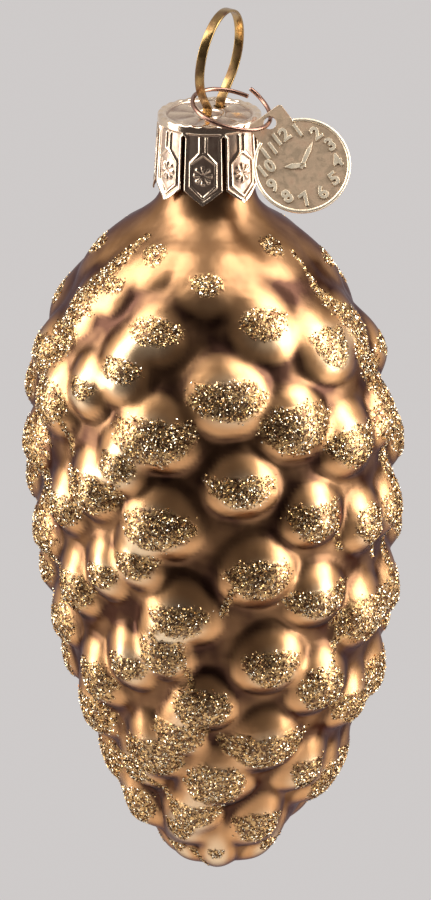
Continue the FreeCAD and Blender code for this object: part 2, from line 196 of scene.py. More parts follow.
class CharmSizes(PropertyGroup):
    radius: length("Radius", "Radius of the disc", 6.6 * MM)
    thickness: length("Thickness", "Thickness at the rim", 0.55 * MM)
    rim: length("Rim", "Width of the raised rim", 0.5 * MM)
    recess: length("Recess", "Depth of the face under the rim", 0.15 * MM)
    tab_width: length("Tab width", "Width of the tab", 5.4 * MM)
    tab_height: length("Tab height", "Height of the tab", 2.7 * MM)
    tab_drop: length("Tab drop", "From the disc's edge up to the hole", 0.75 * MM)
    hole: length("Hole", "Diameter of the hole", 1.75 * MM)
    hole_drop: length("Hole drop", "From the wire down to the hole's middle", 0.15 * MM)
    lean: angle("Lean", "Lean of the charm to the right", 37.5)
    pitch: angle("Pitch", "Lean of the charm to the front", 32)
    yaw: angle("Yaw", "Turn of the charm to the left", 3)
    numeral: length("Numeral", "Height of a numeral's line", 2.5 * MM)
    relief: length("Relief", "How far numerals and hands stand proud", 0.15 * MM)
    hour_length: length("Hour hand length", "Length of the short hand", 2.4 * MM)
    hour_width: length("Hour hand width", "Width of the short hand", 0.62 * MM)
    hour_angle: angle("Hour hand", "Direction of the short hand", -60)
    minute_length: length("Minute hand length", "Length of the long hand", 3.6 * MM)
    minute_width: length("Minute hand width", "Width of the long hand", 0.5 * MM)
    minute_angle: angle("Minute hand", "Direction of the long hand", 60)
    brass: colour("Brass", "Pale antique brass", (0.72, 0.545, 0.375))
    tarnish: colour("Tarnish", "Dark tone of the face", (0.30, 0.19, 0.135))
    raised: colour("Raised brass", "Rubbed numerals, hands and rim", (1.0, 0.88, 0.68))


class StageSizes(PropertyGroup):
    elevation: angle("Camera elevation", "How far the camera looks down", 19)
    frame_height: length("Frame height", "Height that the picture shows", 121.5 * MM)
    lens: FloatProperty(name="Lens", description="Focal length in millimetres", default=500)
    floor_drop: length("Floor drop", "Depth of the floor under the loop", 0.6)
    floor_radius: length("Floor radius", "Radius of the floor", 1.2)
    backdrop: colour("Backdrop", "Pale grey of the floor and backdrop", (0.62, 0.594, 0.588))


# Values that no user would change: the moulded pattern and how finely the meshes are made

BODY_OUTLINE = (
    (0.000, 0.31), (0.021, 0.40), (0.042, 0.52), (0.080, 0.66), (0.136, 0.80), (0.199, 0.93),
    (0.293, 0.995), (0.418, 1.00), (0.565, 0.94), (0.690, 0.845), (0.795, 0.675), (0.879, 0.505),
    (0.942, 0.36), (0.983, 0.20), (1.000, 0.00),
)
EVEN_COLUMNS = (
    (0.0, -0.6, 1.0), (45.0, 3.6, 1.0), (90.0, -1.5, 1.0), (135.0, 1.0, 1.0), (180.0, -0.6, 1.0),
    (-135.0, 0.8, 1.0), (-90.0, 0.4, 1.0), (-52.0, -1.6, 0.8), (-37.0, 2.0, 0.75),
)
ODD_COLUMNS = (
    (22.5, 1.4, 1.0), (67.5, -1.8, 1.0), (112.5, 0.5, 1.0), (157.5, -0.8, 1.0), (-157.5, 0.6, 1.0),
    (-112.5, -0.8, 1.0), (-68.5, 1.0, 0.85), (-26.5, 0.4, 1.0),
)
ROW_DRIFT = math.radians(0.26) / MM
FADE_DEPTH = 4 * MM
FADE_LENGTH = 24 * MM
FULLNESS = 1.5
FADE_LEAST = 0.12
TIP_FADE = 10 * MM
WIDEST_SCALE = math.radians(25)
DEPTH_SPREAD = 1.2 * MM
AZIMUTH_SPREAD = math.radians(4)
LEAST_SIZE = 0.88
SIZE_SPREAD = 0.24
UNEVEN_STEPS = (12.9898, 78.233, 37.719)
UNEVEN_STRETCH = 43758.5453
SWAY_END = 0.89
SWAY_START = -4 * MM
SWAY_GROWTH = 6 * MM
TIP_BEND = 0.9 * MM
TIP_BEND_START = 0.84
SKIN_ROUND = 280
SKIN_DOWN = 240
INNER_DOWN = 48
OUTLINE_STEPS = 3000
CREASE_REACH = 3
CREASE_DEPTH = 0.4 * MM
BOX_MARGIN = 0.01 * MM
TIP_JOIN = 0.01 * MM

# Depths in millimetres over which the relief, the lacquer, its painted shade and its painted highlight
# change from the neck down
RELIEF_SPAN = (-1, 9)
VALLEY_SPAN = (5, 10)
FLUTE_SPAN = (9, 22)
SHOULDER_SPAN = (4, 18)
PALE_AND_HIGHLIGHT_SPAN = (6, 20)

# How dark the painted shade makes the creases, the valleys between scales (there with darker lacquer too)
# and the shoulder, and the darkest place
CREASE_SHADE = 0.85
VALLEY_SHADE = 0.95
SHOULDER_SHADE = 0.6
MOST_SHADE = 0.98
FLUTE_EDGE = 0.4
GLUE_SHARE = 0.9


def sizes():
    """The scene's groups of sizes and colours."""
    return bpy.context.scene


# Meshes


def mesh_piece(name, points, faces, material, body, smooth=True):
    """Link a mesh piece with its material, and let it ride on its body."""
    mesh = bpy.data.meshes.new(name)
    mesh.from_pydata(np.asarray(points).tolist(), [], faces)
    mesh.update()
    mesh.materials.append(material)
    mesh.polygons.foreach_set("use_smooth", [smooth] * len(mesh.polygons))
    piece = bpy.data.objects.new(name, mesh)
    bpy.context.scene.collection.objects.link(piece)
    return place(piece, body)


def place(piece, body):
    """Let a piece ride on its body."""
    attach(piece, body)
    return piece


def net_faces(rows, columns, closed=True):
    """Quads of a net of points, row by row, closed round its columns or not."""
    faces = []
    for row in range(rows - 1):
        start = row * columns
        for column in range(columns if closed else columns - 1):
            after = (column + 1) % columns
            faces.append((start + column, start + columns + column, start + columns + after, start + after))
    return faces


def set_values(mesh, name, values):
    """Store one value a point, which the material reads by its name."""
    attribute = mesh.attributes.new(name, "FLOAT", "POINT")
    attribute.data.foreach_set("value", np.asarray(values, np.float32).ravel())


def apply_modifiers(piece):
    """Make the mesh that the modifiers give the piece's own."""
    graph = bpy.context.evaluated_depsgraph_get()
    made = bpy.data.meshes.new_from_object(piece.evaluated_get(graph))
    piece.modifiers.clear()
    piece.data = made
    return piece


def join_close_points(piece, distance):
    """Join points that lie together, as where a net ends in a tip, and turn the faces outwards."""
    made = bmesh.new()
    made.from_mesh(piece.data)
    bmesh.ops.remove_doubles(made, verts=made.verts, dist=distance)
    bmesh.ops.recalc_face_normals(made, faces=made.faces)
    made.to_mesh(piece.data)
    made.free()


def smoothstep(low, high, x):
    """0 up to low, 1 from high on, and smooth between."""
    t = np.clip((np.asarray(x, float) - low) / (high - low), 0, 1)
    return t * t * (3 - 2 * t)


def from_neck(span, depth):
    """0 above a span of depths in millimetres, 1 below it, and smooth between."""
    return smoothstep(span[0] * MM, span[1] * MM, depth)


def sweep(path, along, normals, section):
    """Points of a section swept along a path; the section's x follows the normals."""
    rows = []
    for point, tangent, normal in zip(path, along, normals):
        side = tangent.cross(normal)
        rows.append([point + normal * x + side * y for x, y in section])
    return rows


def capped(rows):
    """Points and faces of a closed tube with a flat face at each end."""
    columns = len(rows[0])
    points = [point for row in rows for point in row]
    faces = net_faces(len(rows), columns)
    faces.append(tuple(range(columns)))
    last = (len(rows) - 1) * columns
    faces.append(tuple(range(last + columns - 1, last - 1, -1)))
    return points, faces


# Materials

CLOUD_RANGE = (0.4, 0.75)
TARNISH_DULLS = 0.35
METAL_GRAIN_STRENGTH = 0.25
METAL_GRAIN_HEIGHT = 0.04 * MM
CLOUD_WAVES = 90
CLOUD_SHARE = 0.4
SHADE_WAVES = 170
LEAST_SHADE = 0.68
# Reach and share of the painted reflection at grazing angles
GRAZING_REFLECTION_FACING = (0.5, 0.9)
GRAZING_REFLECTION_SHARE = 0.85
SATIN_WAVES = 400
SATIN_ROUGHNESS = (0.3, 0.37)
LACQUER_TINT = (0.27, 0.24, 0.28, 1)
RIPPLE_WAVES = 260
RIPPLE_STRENGTH = 0.35
RIPPLE_HEIGHT = 0.4 * MM
DUST_HEIGHT = 0.6
GOLD_TONES = (0.15, 0.55)
GLINT_TONES = (0.6, 0.85)
GRAIN_ROUGHNESS = (0.32, 0.16)


def input_socket(tree, name, kind, default):
    """Give a shader node group an input with its default."""
    socket = tree.interface.new_socket(name=name, in_out="INPUT", socket_type=kind)
    socket.default_value = default


def node(tree, kind, **settings):
    """A shader node with its settings."""
    made = tree.nodes.new(kind)
    for name, value in settings.items():
        setattr(made, name, value)
    return made


def math_node(tree, operation, first, second, clamp=False):
    """Result of a sum on two values, each a socket's or a number."""
    made = node(tree, "ShaderNodeMath", operation=operation, use_clamp=clamp)
    for socket, value in zip(made.inputs, (first, second)):
        if isinstance(value, bpy.types.NodeSocket):
            tree.links.new(value, socket)
        else:
            socket.default_value = value
    return made.outputs[0]


def mix_colours(tree, factor, first, second):
    """Mix, by a socket's factor, of two colours that are each a socket's or written out."""
    made = node(tree, "ShaderNodeMix", data_type="RGBA")
    tree.links.new(factor, made.inputs[0])
    for socket, value in zip((made.inputs[6], made.inputs[7]), (first, second)):
        if isinstance(value, bpy.types.NodeSocket):
            tree.links.new(value, socket)
        else:
            socket.default_value = (*value, 1)
    return made.outputs[2]


def noise(tree, scale, detail):
    """Noise over the object's own coordinates, in waves a metre."""
    made = node(tree, "ShaderNodeTexNoise")
    made.inputs["Scale"].default_value = scale
    made.inputs["Detail"].default_value = detail
    tree.links.new(node(tree, "ShaderNodeTexCoord").outputs["Object"], made.inputs["Vector"])
    return made.outputs["Fac"]


def stored_value(tree, name):
    """A value that the mesh stores at its points."""
    return node(tree, "ShaderNodeAttribute", attribute_name=name).outputs["Fac"]


def value_range(tree, value, low, high, new_low, new_high):
    """A value stretched from one range to another and kept inside it."""
    made = node(tree, "ShaderNodeMapRange")
    for socket, number in zip(made.inputs[1:5], (low, high, new_low, new_high)):
        socket.default_value = number
    tree.links.new(value, made.inputs[0])
    return made.outputs[0]


def new_material(name, metallic=1.0):
    """A material with its Principled shader, and its node tree."""
    material = bpy.data.materials.new(name)
    material.use_nodes = True
    tree = material.node_tree
    shader = tree.nodes["Principled BSDF"]
    shader.inputs["Metallic"].default_value = metallic
    return material, tree, shader


def add_bump(tree, shader, height, strength, distance):
    """Roughen the shader's normal by a height."""
    bump =node(tree, "ShaderNodeBump")
    bump.inputs["Strength"].default_value = strength
    bump.inputs["Distance"].default_value = distance
    tree.links.new(height, bump.inputs["Height"])
    tree.links.new(bump.outputs["Normal"], shader.inputs["Normal"])


def tarnish_group():
    """Metal that darkens in cloudy tarnish patches and with painted shade in its hollows, with a roughness
    to match.
    """
    name = "tarnish"
    if name in bpy.data.node_groups:
        return bpy.data.node_groups[name]
    tree = bpy.data.node_groups.new(name, "ShaderNodeTree")
    input_socket(tree, "Metal", "NodeSocketColor", (0.8, 0.7, 0.5, 1))
    input_socket(tree, "Tarnish", "NodeSocketColor", (0.2, 0.1, 0.1, 1))
    input_socket(tree, "Hollow", "NodeSocketFloat", 0.0)
    input_socket(tree, "Cloud", "NodeSocketFloat", 0.3)
    input_socket(tree, "Scale", "NodeSocketFloat", 900.0)
    input_socket(tree, "Polish", "NodeSocketFloat", 0.25)
    tree.interface.new_socket(name="Color", in_out="OUTPUT", socket_type="NodeSocketColor")
    tree.interface.new_socket(name="Roughness", in_out="OUTPUT", socket_type="NodeSocketFloat")
    inside = node(tree, "NodeGroupInput").outputs
    out = node(tree, "NodeGroupOutput").inputs
    cloud = node(tree, "ShaderNodeTexNoise")
    cloud.inputs["Detail"].default_value = 4
    tree.links.new(inside["Scale"], cloud.inputs["Scale"])
    tree.links.new(node(tree, "ShaderNodeTexCoord").outputs["Object"], cloud.inputs["Vector"])
    cloudy = value_range(tree, cloud.outputs["Fac"], *CLOUD_RANGE, 0, 1)
    patches = math_node(tree, "MULTIPLY", cloudy, inside["Cloud"])
    # Tarnish patches plus the painted shade in the hollows
    dark = math_node(tree, "ADD", patches, inside["Hollow"], clamp=True)
    tree.links.new(mix_colours(tree, dark, inside["Metal"], inside["Tarnish"]), out["Color"])
    dull = math_node(tree, "MULTIPLY", dark, TARNISH_DULLS)
    tree.links.new(math_node(tree, "ADD", dull, inside["Polish"], clamp=True), out["Roughness"])
    return tree


def tarnished_metal(name, metal, dark, cloud, polish, grain=2600, scale=900, hollow=False):
    """Metal with cloudy tarnish, painted shade in its stored hollows if it has them, and a fine grain."""
    material, tree, shader = new_material(name)
    group = node(tree, "ShaderNodeGroup", node_tree=tarnish_group())
    group.inputs["Metal"].default_value = (*metal, 1)
    group.inputs["Tarnish"].default_value = (*dark, 1)
    group.inputs["Cloud"].default_value = cloud
    group.inputs["Scale"].default_value = scale
    group.inputs["Polish"].default_value = polish
    if hollow:
        tree.links.new(stored_value(tree, "hollow"), group.inputs["Hollow"])
    tree.links.new(group.outputs["Color"], shader.inputs["Base Color"])
    tree.links.new(group.outputs["Roughness"], shader.inputs["Roughness"])
    add_bump(tree, shader, noise(tree, grain, 3), METAL_GRAIN_STRENGTH, METAL_GRAIN_HEIGHT)
    return material


def glass_material(glass, glitter):
    """Satin copper-gold lacquer with painted shade in the hollows and on the shoulder, darker lacquer too
    in the valleys, pale lacquer with a painted highlight on the noses, a painted reflection at grazing
    angles, and glitter in its glue.
    """
    material, tree, shader = new_material("copper_gold_lacquer")
    cloud = value_range(tree, noise(tree, CLOUD_WAVES, 3), 0.3, 0.7, 0, CLOUD_SHARE)
    # Pale on the noses: thinner lacquer and partly a painted highlight
    body = mix_colours(tree, stored_value(tree, "proud"), glass.lacquer, glass.pale)
    body = mix_colours(tree, cloud, body, glass.lacquer)
    # Painted shade from the stored hollow values, with darker lacquer in the valleys
    patchy = value_range(tree, noise(tree, SHADE_WAVES, 2), 0.35, 0.6, LEAST_SHADE, 1)
    hollow = math_node(tree, "MULTIPLY", stored_value(tree, "hollow"), patchy)
    body = mix_colours(tree, hollow, body, glass.shade)
    # Painted reflection of the pale backdrop at grazing angles
    facing = node(tree, "ShaderNodeLayerWeight").outputs["Facing"]
    body = mix_colours(tree, value_range(tree, facing, *GRAZING_REFLECTION_FACING, 0, GRAZING_REFLECTION_SHARE), body, glass.edge)

    cells = node(tree, "ShaderNodeTexVoronoi")
    cells.inputs["Scale"].default_value = 1 / glitter.grain
    tree.links.new(node(tree, "ShaderNodeTexCoord").outputs["Object"], cells.inputs["Vector"])
    tone = node(tree, "ShaderNodeSeparateColor")
    tree.links.new(cells.outputs["Color"], tone.inputs[0])
    golden = value_range(tree, tone.outputs[0], 0.35, 0.95, 0, 1)
    dust = mix_colours(tree, golden, glitter.brown, glitter.gold)
    covered = stored_value(tree, "glitter")
    tree.links.new(mix_colours(tree, covered, body, dust), shader.inputs["Base Color"])

    satin = value_range(tree, noise(tree, SATIN_WAVES, 4), 0.3, 0.7, *SATIN_ROUGHNESS)
    tree.links.new(satin, shader.inputs["Roughness"])
    shader.inputs["Specular Tint"].default_value = LACQUER_TINT
    dust_height = math_node(tree, "MULTIPLY", tone.outputs[1], covered)
    dust_height = math_node(tree, "MULTIPLY", dust_height, DUST_HEIGHT)
    height = math_node(tree, "ADD", noise(tree, RIPPLE_WAVES, 2), dust_height)
    add_bump(tree, shader, height, RIPPLE_STRENGTH, RIPPLE_HEIGHT)
    return material


def glitter_material(glitter):
    """Brown, gold and bright grains, each with its own random tone; the bright grains are partly painted
    glints and the brown ones partly painted dark reflections.
    """
    material, tree, shader = new_material("gold_glitter")
    tone = stored_value(tree, "tone")
    # Brown grains, partly painted dark reflections
    body = mix_colours(tree, value_range(tree, tone, *GOLD_TONES, 0, 1), glitter.brown, glitter.gold)
    # Bright grains, partly painted glints
    body = mix_colours(tree, value_range(tree, tone, *GLINT_TONES, 0, 1), body, glitter.bright)
    tree.links.new(body, shader.inputs["Base Color"])
    tree.links.new(value_range(tree, tone, 0, 1, *GRAIN_ROUGHNESS), shader.inputs["Roughness"])
    return material


# Glass


def curve(points, x):
    """Smooth curve through points, taken at each x."""
    xs = np.array([point[0] for point in points])
    ys = np.array([point[1] for point in points])
    slopes = np.diff(ys) / np.diff(xs)
    ends = np.concatenate(([slopes[0]], (slopes[1:] + slopes[:-1]) / 2, [slopes[-1]]))
    x = np.clip(np.asarray(x, float), xs[0], xs[-1])
    at = np.clip(np.searchsorted(xs, x, side="left") - 1, 0, len(xs) - 2)
    span = xs[at + 1] - xs[at]
    t = (x - xs[at]) / span
    value = (2 * t**3 - 3 * t**2 + 1) * ys[at] + (3 * t**2 - 2 * t**3) * ys[at + 1]
    return value + span * ((t**3 - 2 * t**2 + t) * ends[at] + (t**3 - t**2) * ends[at + 1])


def body_points(glass):
    """Depth and radius where the neck ends and down the body to the tip."""
    start = [(glass.neck_straight - glass.neck_length, glass.neck_radius)]
    return start + [(part * glass.body_length, wide * glass.belly_radius) for part, wide in BODY_OUTLINE]


def outline(glass):
    """Depth, radius and outward normal (down, out) at fine steps, and the run along the outline."""
    points = body_points(glass)
    depth = np.linspace(points[0][0], points[-1][0], OUTLINE_STEPS)
    radius = np.maximum(0, curve(points, depth))
    step = np.hypot(np.diff(depth), np.diff(radius))
    run = np.concatenate(([0.0], np.cumsum(step)))
    down = np.gradient(depth, run)
    out = np.gradient(radius, run)
    return depth, radius, -out, down, run


def uneven(row, column, salt):
    """A fixed value from 0 to 1 that differs from scale to scale."""
    row_step, column_step, salt_step = UNEVEN_STEPS
    value = math.sin(row * row_step + column * column_step + salt * salt_step) * UNEVEN_STRETCH
    return value - math.floor(value)


def make_scales(glass):
    """Each scale: depth, azimuth, half width, reach below and above its nose, height, row and column."""
    points = body_points(glass)
    scales = []
    for row in range(int((glass.body_length - glass.first_row) / glass.row_pitch) + 1):
        columns = ODD_COLUMNS if row % 2 else EVEN_COLUMNS
        for column, (azimuth, rise, width) in enumerate(columns):
            depth = glass.first_row + row * glass.row_pitch - rise * MM
            depth += DEPTH_SPREAD * (uneven(row, column, 1) - 0.5)
            turn = math.radians(azimuth) + ROW_DRIFT * depth
            turn += AZIMUTH_SPREAD * (uneven(row, column, 2) - 0.5)
            size = LEAST_SIZE + SIZE_SPREAD * uneven(row, column, 3)
            grown = FADE_LEAST + (1 - FADE_LEAST) * (depth - FADE_DEPTH) / FADE_LENGTH
            grown = min(1.0, grown, (glass.body_length - depth) / TIP_FADE)
            if grown <= 0:
                continue
            radius = float(curve(points, min(depth, glass.body_length))) + glass.scale_height / 2
            half = min(glass.scale_width * width * size, radius * WIDEST_SCALE)
            scales.append((depth, turn, half, glass.scale_nose * size, glass.scale_back * size,
                           glass.scale_height * size * grown, row, column))
    return scales


def relief(glass, scales, depth, radius, azimuth):
    """Height of the scales over the outline at each place."""
    total = np.zeros(np.broadcast(depth, azimuth).shape)
    for at_depth, turn, half, nose, back, height, *_ in scales:
        along = np.where(depth < at_depth, (at_depth - depth) / back, (depth - at_depth) / nose)
        away = (azimuth - turn + math.pi) % (2 * math.pi) - math.pi
        across = away * (radius + glass.scale_height / 2) / half
        spread = np.minimum(1, along**2 + across**2)
        total = total + (height * (1 - spread) ** FULLNESS) ** 2
    return np.sqrt(total) * from_neck(RELIEF_SPAN, depth)


def sway(glass, depth):
    """How far the body's middle lies to the right at each depth."""
    part = np.clip(depth / (SWAY_END * glass.body_length), 0, 1)
    right = (glass.sway_left + glass.sway_right) * (1 - np.cos(math.pi * part)) / 2
    back = TIP_BEND * np.maximum(0, (depth / glass.body_length - TIP_BEND_START) / (1 - TIP_BEND_START))
    return (right - glass.sway_left - back) * np.clip((depth - SWAY_START) / SWAY_GROWTH, 0, 1)


def neck_line(glass, cap):
    """Point on the neck's middle at depth 0."""
    middle = cap_middle(cap)
    return middle - Vector((0, 0, cap.thickness + glass.neck_length))


def cap_middle(cap):
    """Middle of the cap's top plate."""
    x, y, _ = (cap_low + cap_high) / 2
    return Vector((x, y, cap_high.z - cap.bead_height))


def skin_points(glass, cap, scales, along, azimuth, inset, part=1.0):
    """Points of the skin at a run along the outline and an azimuth, with the relief there."""
    depth, radius, normal_down, normal_out, run = outline(glass)
    here = [np.interp(along, run, values) for values in (depth, radius, normal_down, normal_out)]
    raised = relief(glass, scales, here[0], here[1], azimuth)
    rise = part * raised - inset
    at = here[0] + rise * here[2]
    r = np.maximum(0, here[1] + rise * here[3])
    start = neck_line(glass, cap)
    points = np.stack((
        r * np.sin(azimuth) + sway(glass, at) + start.x,
        -r * np.cos(azimuth) + start.y,
        start.z - at,
    ), axis=-1)
    return points, raised, here[0]


def inside_box(points):
    """Points drawn in to the solids' own box."""
    return np.clip(points, np.array(cad_box[0]) + BOX_MARGIN, np.array(cad_box[1]) - BOX_MARGIN)


def blurred(values, reach):
    """Mean of each value and its neighbours on a net that closes round its columns."""
    for axis in (0, 1):
        total = values.copy()
        for shift in range(1, reach + 1):
            total += np.roll(values, shift, axis) + np.roll(values, -shift, axis)
        values = total / (2 * reach + 1)
    return values


def lacquer_tones(glass, cap, scales, along, azimuth, depth, raised):
    """How much painted shade (with darker lacquer in the valleys) and how much pale lacquer with painted
    highlight each place of the skin gets, from 0 to 1.
    """
    # Painted shade in the creases, where the skin lies below its blurred mean
    mean = blurred(blurred(raised, CREASE_REACH), CREASE_REACH)
    crease = np.clip((mean - raised) / CREASE_DEPTH, 0, 1)
    full = [(*scale[:5], glass.scale_height, *scale[6:]) for scale in scales]
    pattern = skin_points(glass, cap, full, along, azimuth, 0)[1] / glass.scale_height
    # Valleys between the scales: painted shade and darker lacquer
    flute = FLUTE_EDGE + FLUTE_EDGE * (1 - from_neck(FLUTE_SPAN, depth))
    valley = (1 - smoothstep(0.02, 1, pattern / flute)) * from_neck(VALLEY_SPAN, depth)
    # Painted shade on the shoulder below the neck
    shoulder = SHOULDER_SHADE * (1 - from_neck(SHOULDER_SPAN, depth))
    hollow = np.clip(CREASE_SHADE * crease + VALLEY_SHADE * valley + shoulder, 0, MOST_SHADE)
    # Pale lacquer with painted highlight on the scales' raised middles
    return hollow, smoothstep(0.5, 1.0, pattern) * from_neck(PALE_AND_HIGHLIGHT_SPAN, depth)


def make_glass():
    """Blown glass as one closed skin with its neck open at the top."""
    glass, cap, glitter = sizes().cone_glass, sizes().cone_cap, sizes().cone_glitter
    scales = make_scales(glass)
    run = outline(glass)[4]
    azimuth = np.linspace(-math.pi, math.pi, SKIN_ROUND, endpoint=False)[None, :]
    along = np.linspace(0, run[-1], SKIN_DOWN)[:, None]
    skin, raised, depth = skin_points(glass, cap, scales, along, azimuth, glass.sunk)
    inner_along = np.linspace(run[-1], 0, INNER_DOWN)[:, None]
    inner, _, _ = skin_points(glass, cap, [], inner_along, azimuth, glass.wall)
    rim = [inner[-1].copy(), skin[0].copy()]
    for row in rim:
        row[:, 2] = cap_middle(cap).z - cap.thickness
    rows = inside_box(np.concatenate((inner, np.stack(rim), skin)))
    count = len(rows)
    faces = net_faces(count, SKIN_ROUND)
    material = glass_material(glass, glitter)
    points = rows.reshape(-1, 3)
    piece = mesh_piece("lacquered_glass", points, faces, material, "ornament")
    inside = np.zeros((count - SKIN_DOWN, SKIN_ROUND))
    # Painted shade in the hollows and on the shoulder, and pale lacquer with painted highlight on the noses
    hollow, proud = lacquer_tones(glass, cap, scales, along, azimuth, depth, raised)
    cover = glitter_cover(glass, scales, depth * np.ones_like(azimuth), azimuth * np.ones_like(depth))
    glue = GLUE_SHARE * smoothstep(-0.12, 0.15, cover)
    for name, values in (("hollow", hollow), ("proud", proud), ("glitter", glue)):
        set_values(piece.data, name, np.concatenate((inside, values)))
    join_close_points(piece, TIP_JOIN)
    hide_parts("glass_body")


# Glitter

GRAIN_RANDOM = 7
GRAIN_TILT = 0.7
PATCH_RISE = 1.2 * MM
PATCH_HALF_HEIGHT = 3.0 * MM
TRAIL_WIDTH = 0.5 * MM
TRAIL_SHARE = 0.25
EDGE_WAVE = 420
STREAK_COVER = 0.8
WAVE_COVER = 0.1
EDGE_SCATTER = 0.16
EDGE_LEAST = 0.02
NORMAL_STEP = 0.15 * MM
LEAST_RADIUS = 2 * MM
GRAIN_SPREAD = (0.38, 0.66)
GRAIN_RISE = 0.02 * MM
GRAIN_PEAK = 0.42
QUARTERS = ("back_left", "front_left", "front_right", "back_right")

# Where glitter ran down the sides: depth in millimetres, azimuth in degrees, half width in millimetres
LEFT_STREAK = (
    (2.5, -50, 0.6), (6.5, -56, 1.6), (12.5, -64, 3.0), (20, -72, 3.2), (30, -76, 2.4), (45, -74, 1.6),
    (58, -68, 0.5),
)
RIGHT_STREAK = ((9, 60, 0.5), (14, 68, 2.4), (22, 76, 3.4), (34, 78, 2.2), (48, 78, 1.0), (56, 76, 0.5))


def patch_shape(scale):
    """A scale's patch: half width, half height, how much its ends turn up, and its side."""
    _, _, half, _, _, _, row, column = scale
    wide = half * (0.54 + 0.46 * uneven(row, column, 4))
    tall = min(PATCH_HALF_HEIGHT, half * 0.44) * (0.7 + 0.45 * uneven(row, column, 5))
    bend = 0.1 + 0.5 * uneven(row, column, 6)
    side = 1 if uneven(row, column, 7) > 0.5 else -1
    return wide, tall, bend, side


def segment_cover(x, y, start, stop, width):
    """1 on a short line, 0 at its width and less beyond it."""
    dx, dy = stop[0] - start[0], stop[1] - start[1]
    t = np.clip(((x - start[0]) * dx + (y - start[1]) * dy) / (dx * dx + dy * dy), 0, 1)
    return 1 - np.hypot(x - start[0] - t * dx, y - start[1] - t * dy) / width


def glitter_cover(glass, scales, depth, azimuth):
    """Above 0 where glitter covers the lacquer: on each nose, in its trail and in the side streaks."""
    radius = curve(body_points(glass), depth) + glass.scale_height
    cover = np.full(depth.shape, -1.0)
    for scale in scales:
        at_depth, turn, _, _, _, height, row, column = scale
        wide, tall, bend, side = patch_shape(scale)
        full = min(1, 0.35 + 0.65 * height / glass.scale_height)
        away = (azimuth - turn + math.pi) % (2 * math.pi) - math.pi
        x = away * radius
        down = depth - at_depth + PATCH_RISE
        near = (np.abs(x) < 2 * wide) & (np.abs(down) < 3 * tall)
        if not near.any():
            continue
        u = x[near] / (wide * full)
        v = down[near] / (tall * full) + bend * u * u - 0.5 * bend
        found = 1 - u * u - v * v
        if uneven(row, column, 8) < TRAIL_SHARE:
            start = (side * wide * 0.8, 0.6 * tall)
            stop = (side * wide * 1.1, 2.1 * tall)
            found = np.maximum(found, segment_cover(x[near], down[near], start, stop, TRAIL_WIDTH))
        cover[near] = np.maximum(cover[near], found)
    for streak in (LEFT_STREAK, RIGHT_STREAK):
        depths, turns, widths = np.array(streak).T
        line = np.radians(np.interp(depth / MM, depths, turns))
        width = np.interp(depth / MM, depths, widths, 0.01, 0.01) * MM
        found = 1 - np.abs((azimuth - line + math.pi) % (2 * math.pi) - math.pi) * radius / width
        inside = (depth > depths[0] * MM) & (depth < depths[-1] * MM)
        cover = np.maximum(cover, np.where(inside, found * STREAK_COVER, -1))
    wave = np.sin(azimuth * radius * EDGE_WAVE * 2 + 3 * np.sin(depth * EDGE_WAVE * 3))
    wave = wave + np.sin(depth * EDGE_WAVE * 5 + 2 * np.sin(azimuth * radius * EDGE_WAVE * 4))
    return cover + WAVE_COVER * wave


def grain_places(glass, glitter, scales, random):
    """Depths and azimuths of the grains, thinner towards the patches' ragged edges."""
    run = outline(glass)
    count = int(run[4][-1] * 2 * math.pi * (glass.belly_radius + glass.scale_height) / glitter.spacing**2)
    along = random.uniform(0, run[4][-1], count)
    azimuth = random.uniform(-math.pi, math.pi, count)
    depth = np.interp(along, run[4], run[0])
    radius = np.interp(along, run[4], run[1]) + glass.scale_height / 2
    keep = random.uniform(0, 1, count) < radius / (glass.belly_radius + glass.scale_height)
    depth, azimuth = depth[keep], azimuth[keep]
    cover = glitter_cover(glass, scales, depth, azimuth)
    keep = cover > EDGE_SCATTER * random.standard_normal(len(cover)) + EDGE_LEAST
    return depth[keep], azimuth[keep]


def grain_frames(glass, cap, scales, depth, azimuth):
    """Points on the skin under the grains, and the skin's normal there."""
    line = outline(glass)
    along = np.interp(depth, line[0], line[4])
    here = skin_points(glass, cap, scales, along, azimuth, glass.sunk)[0]
    below = skin_points(glass, cap, scales, along + NORMAL_STEP, azimuth, glass.sunk)[0]
    turn = NORMAL_STEP / np.maximum(LEAST_RADIUS, np.interp(along, line[4], line[1]))
    beside = skin_points(glass, cap, scales, along, azimuth + turn, glass.sunk)[0]
    normal = np.cross(below - here, beside - here)
    normal /= np.linalg.norm(normal, axis=1)[:, None]
    return here, normal


def grain_mesh(here, normal, glitter, random):
    """A low three-sided splinter at each place, tilted and turned at random."""
    count = len(here)
    tilted = normal + GRAIN_TILT * random.standard_normal((count, 3))
    tilted /= np.linalg.norm(tilted, axis=1)[:, None]
    first = np.cross(tilted, random.standard_normal((count, 3)))
    first /= np.linalg.norm(first, axis=1)[:, None]
    second = np.cross(tilted, first)
    size = glitter.grain * random.uniform(*GRAIN_SPREAD, count)[:, None]
    corners = []
    for corner in range(3):
        turn = 2 * math.pi * corner / 3
        out = math.cos(turn) * first + math.sin(turn) * second
        corners.append(here + size * out + GRAIN_RISE * normal)
    corners.append(here + tilted * size * GRAIN_PEAK)
    points = np.stack(corners, axis=1).reshape(-1, 3)
    start = 4 * np.arange(count)[:, None]
    sides = ((0, 1, 3), (1, 2, 3), (2, 0, 3), (0, 2, 1))
    return points, np.concatenate([start + np.array(side) for side in sides]).tolist()


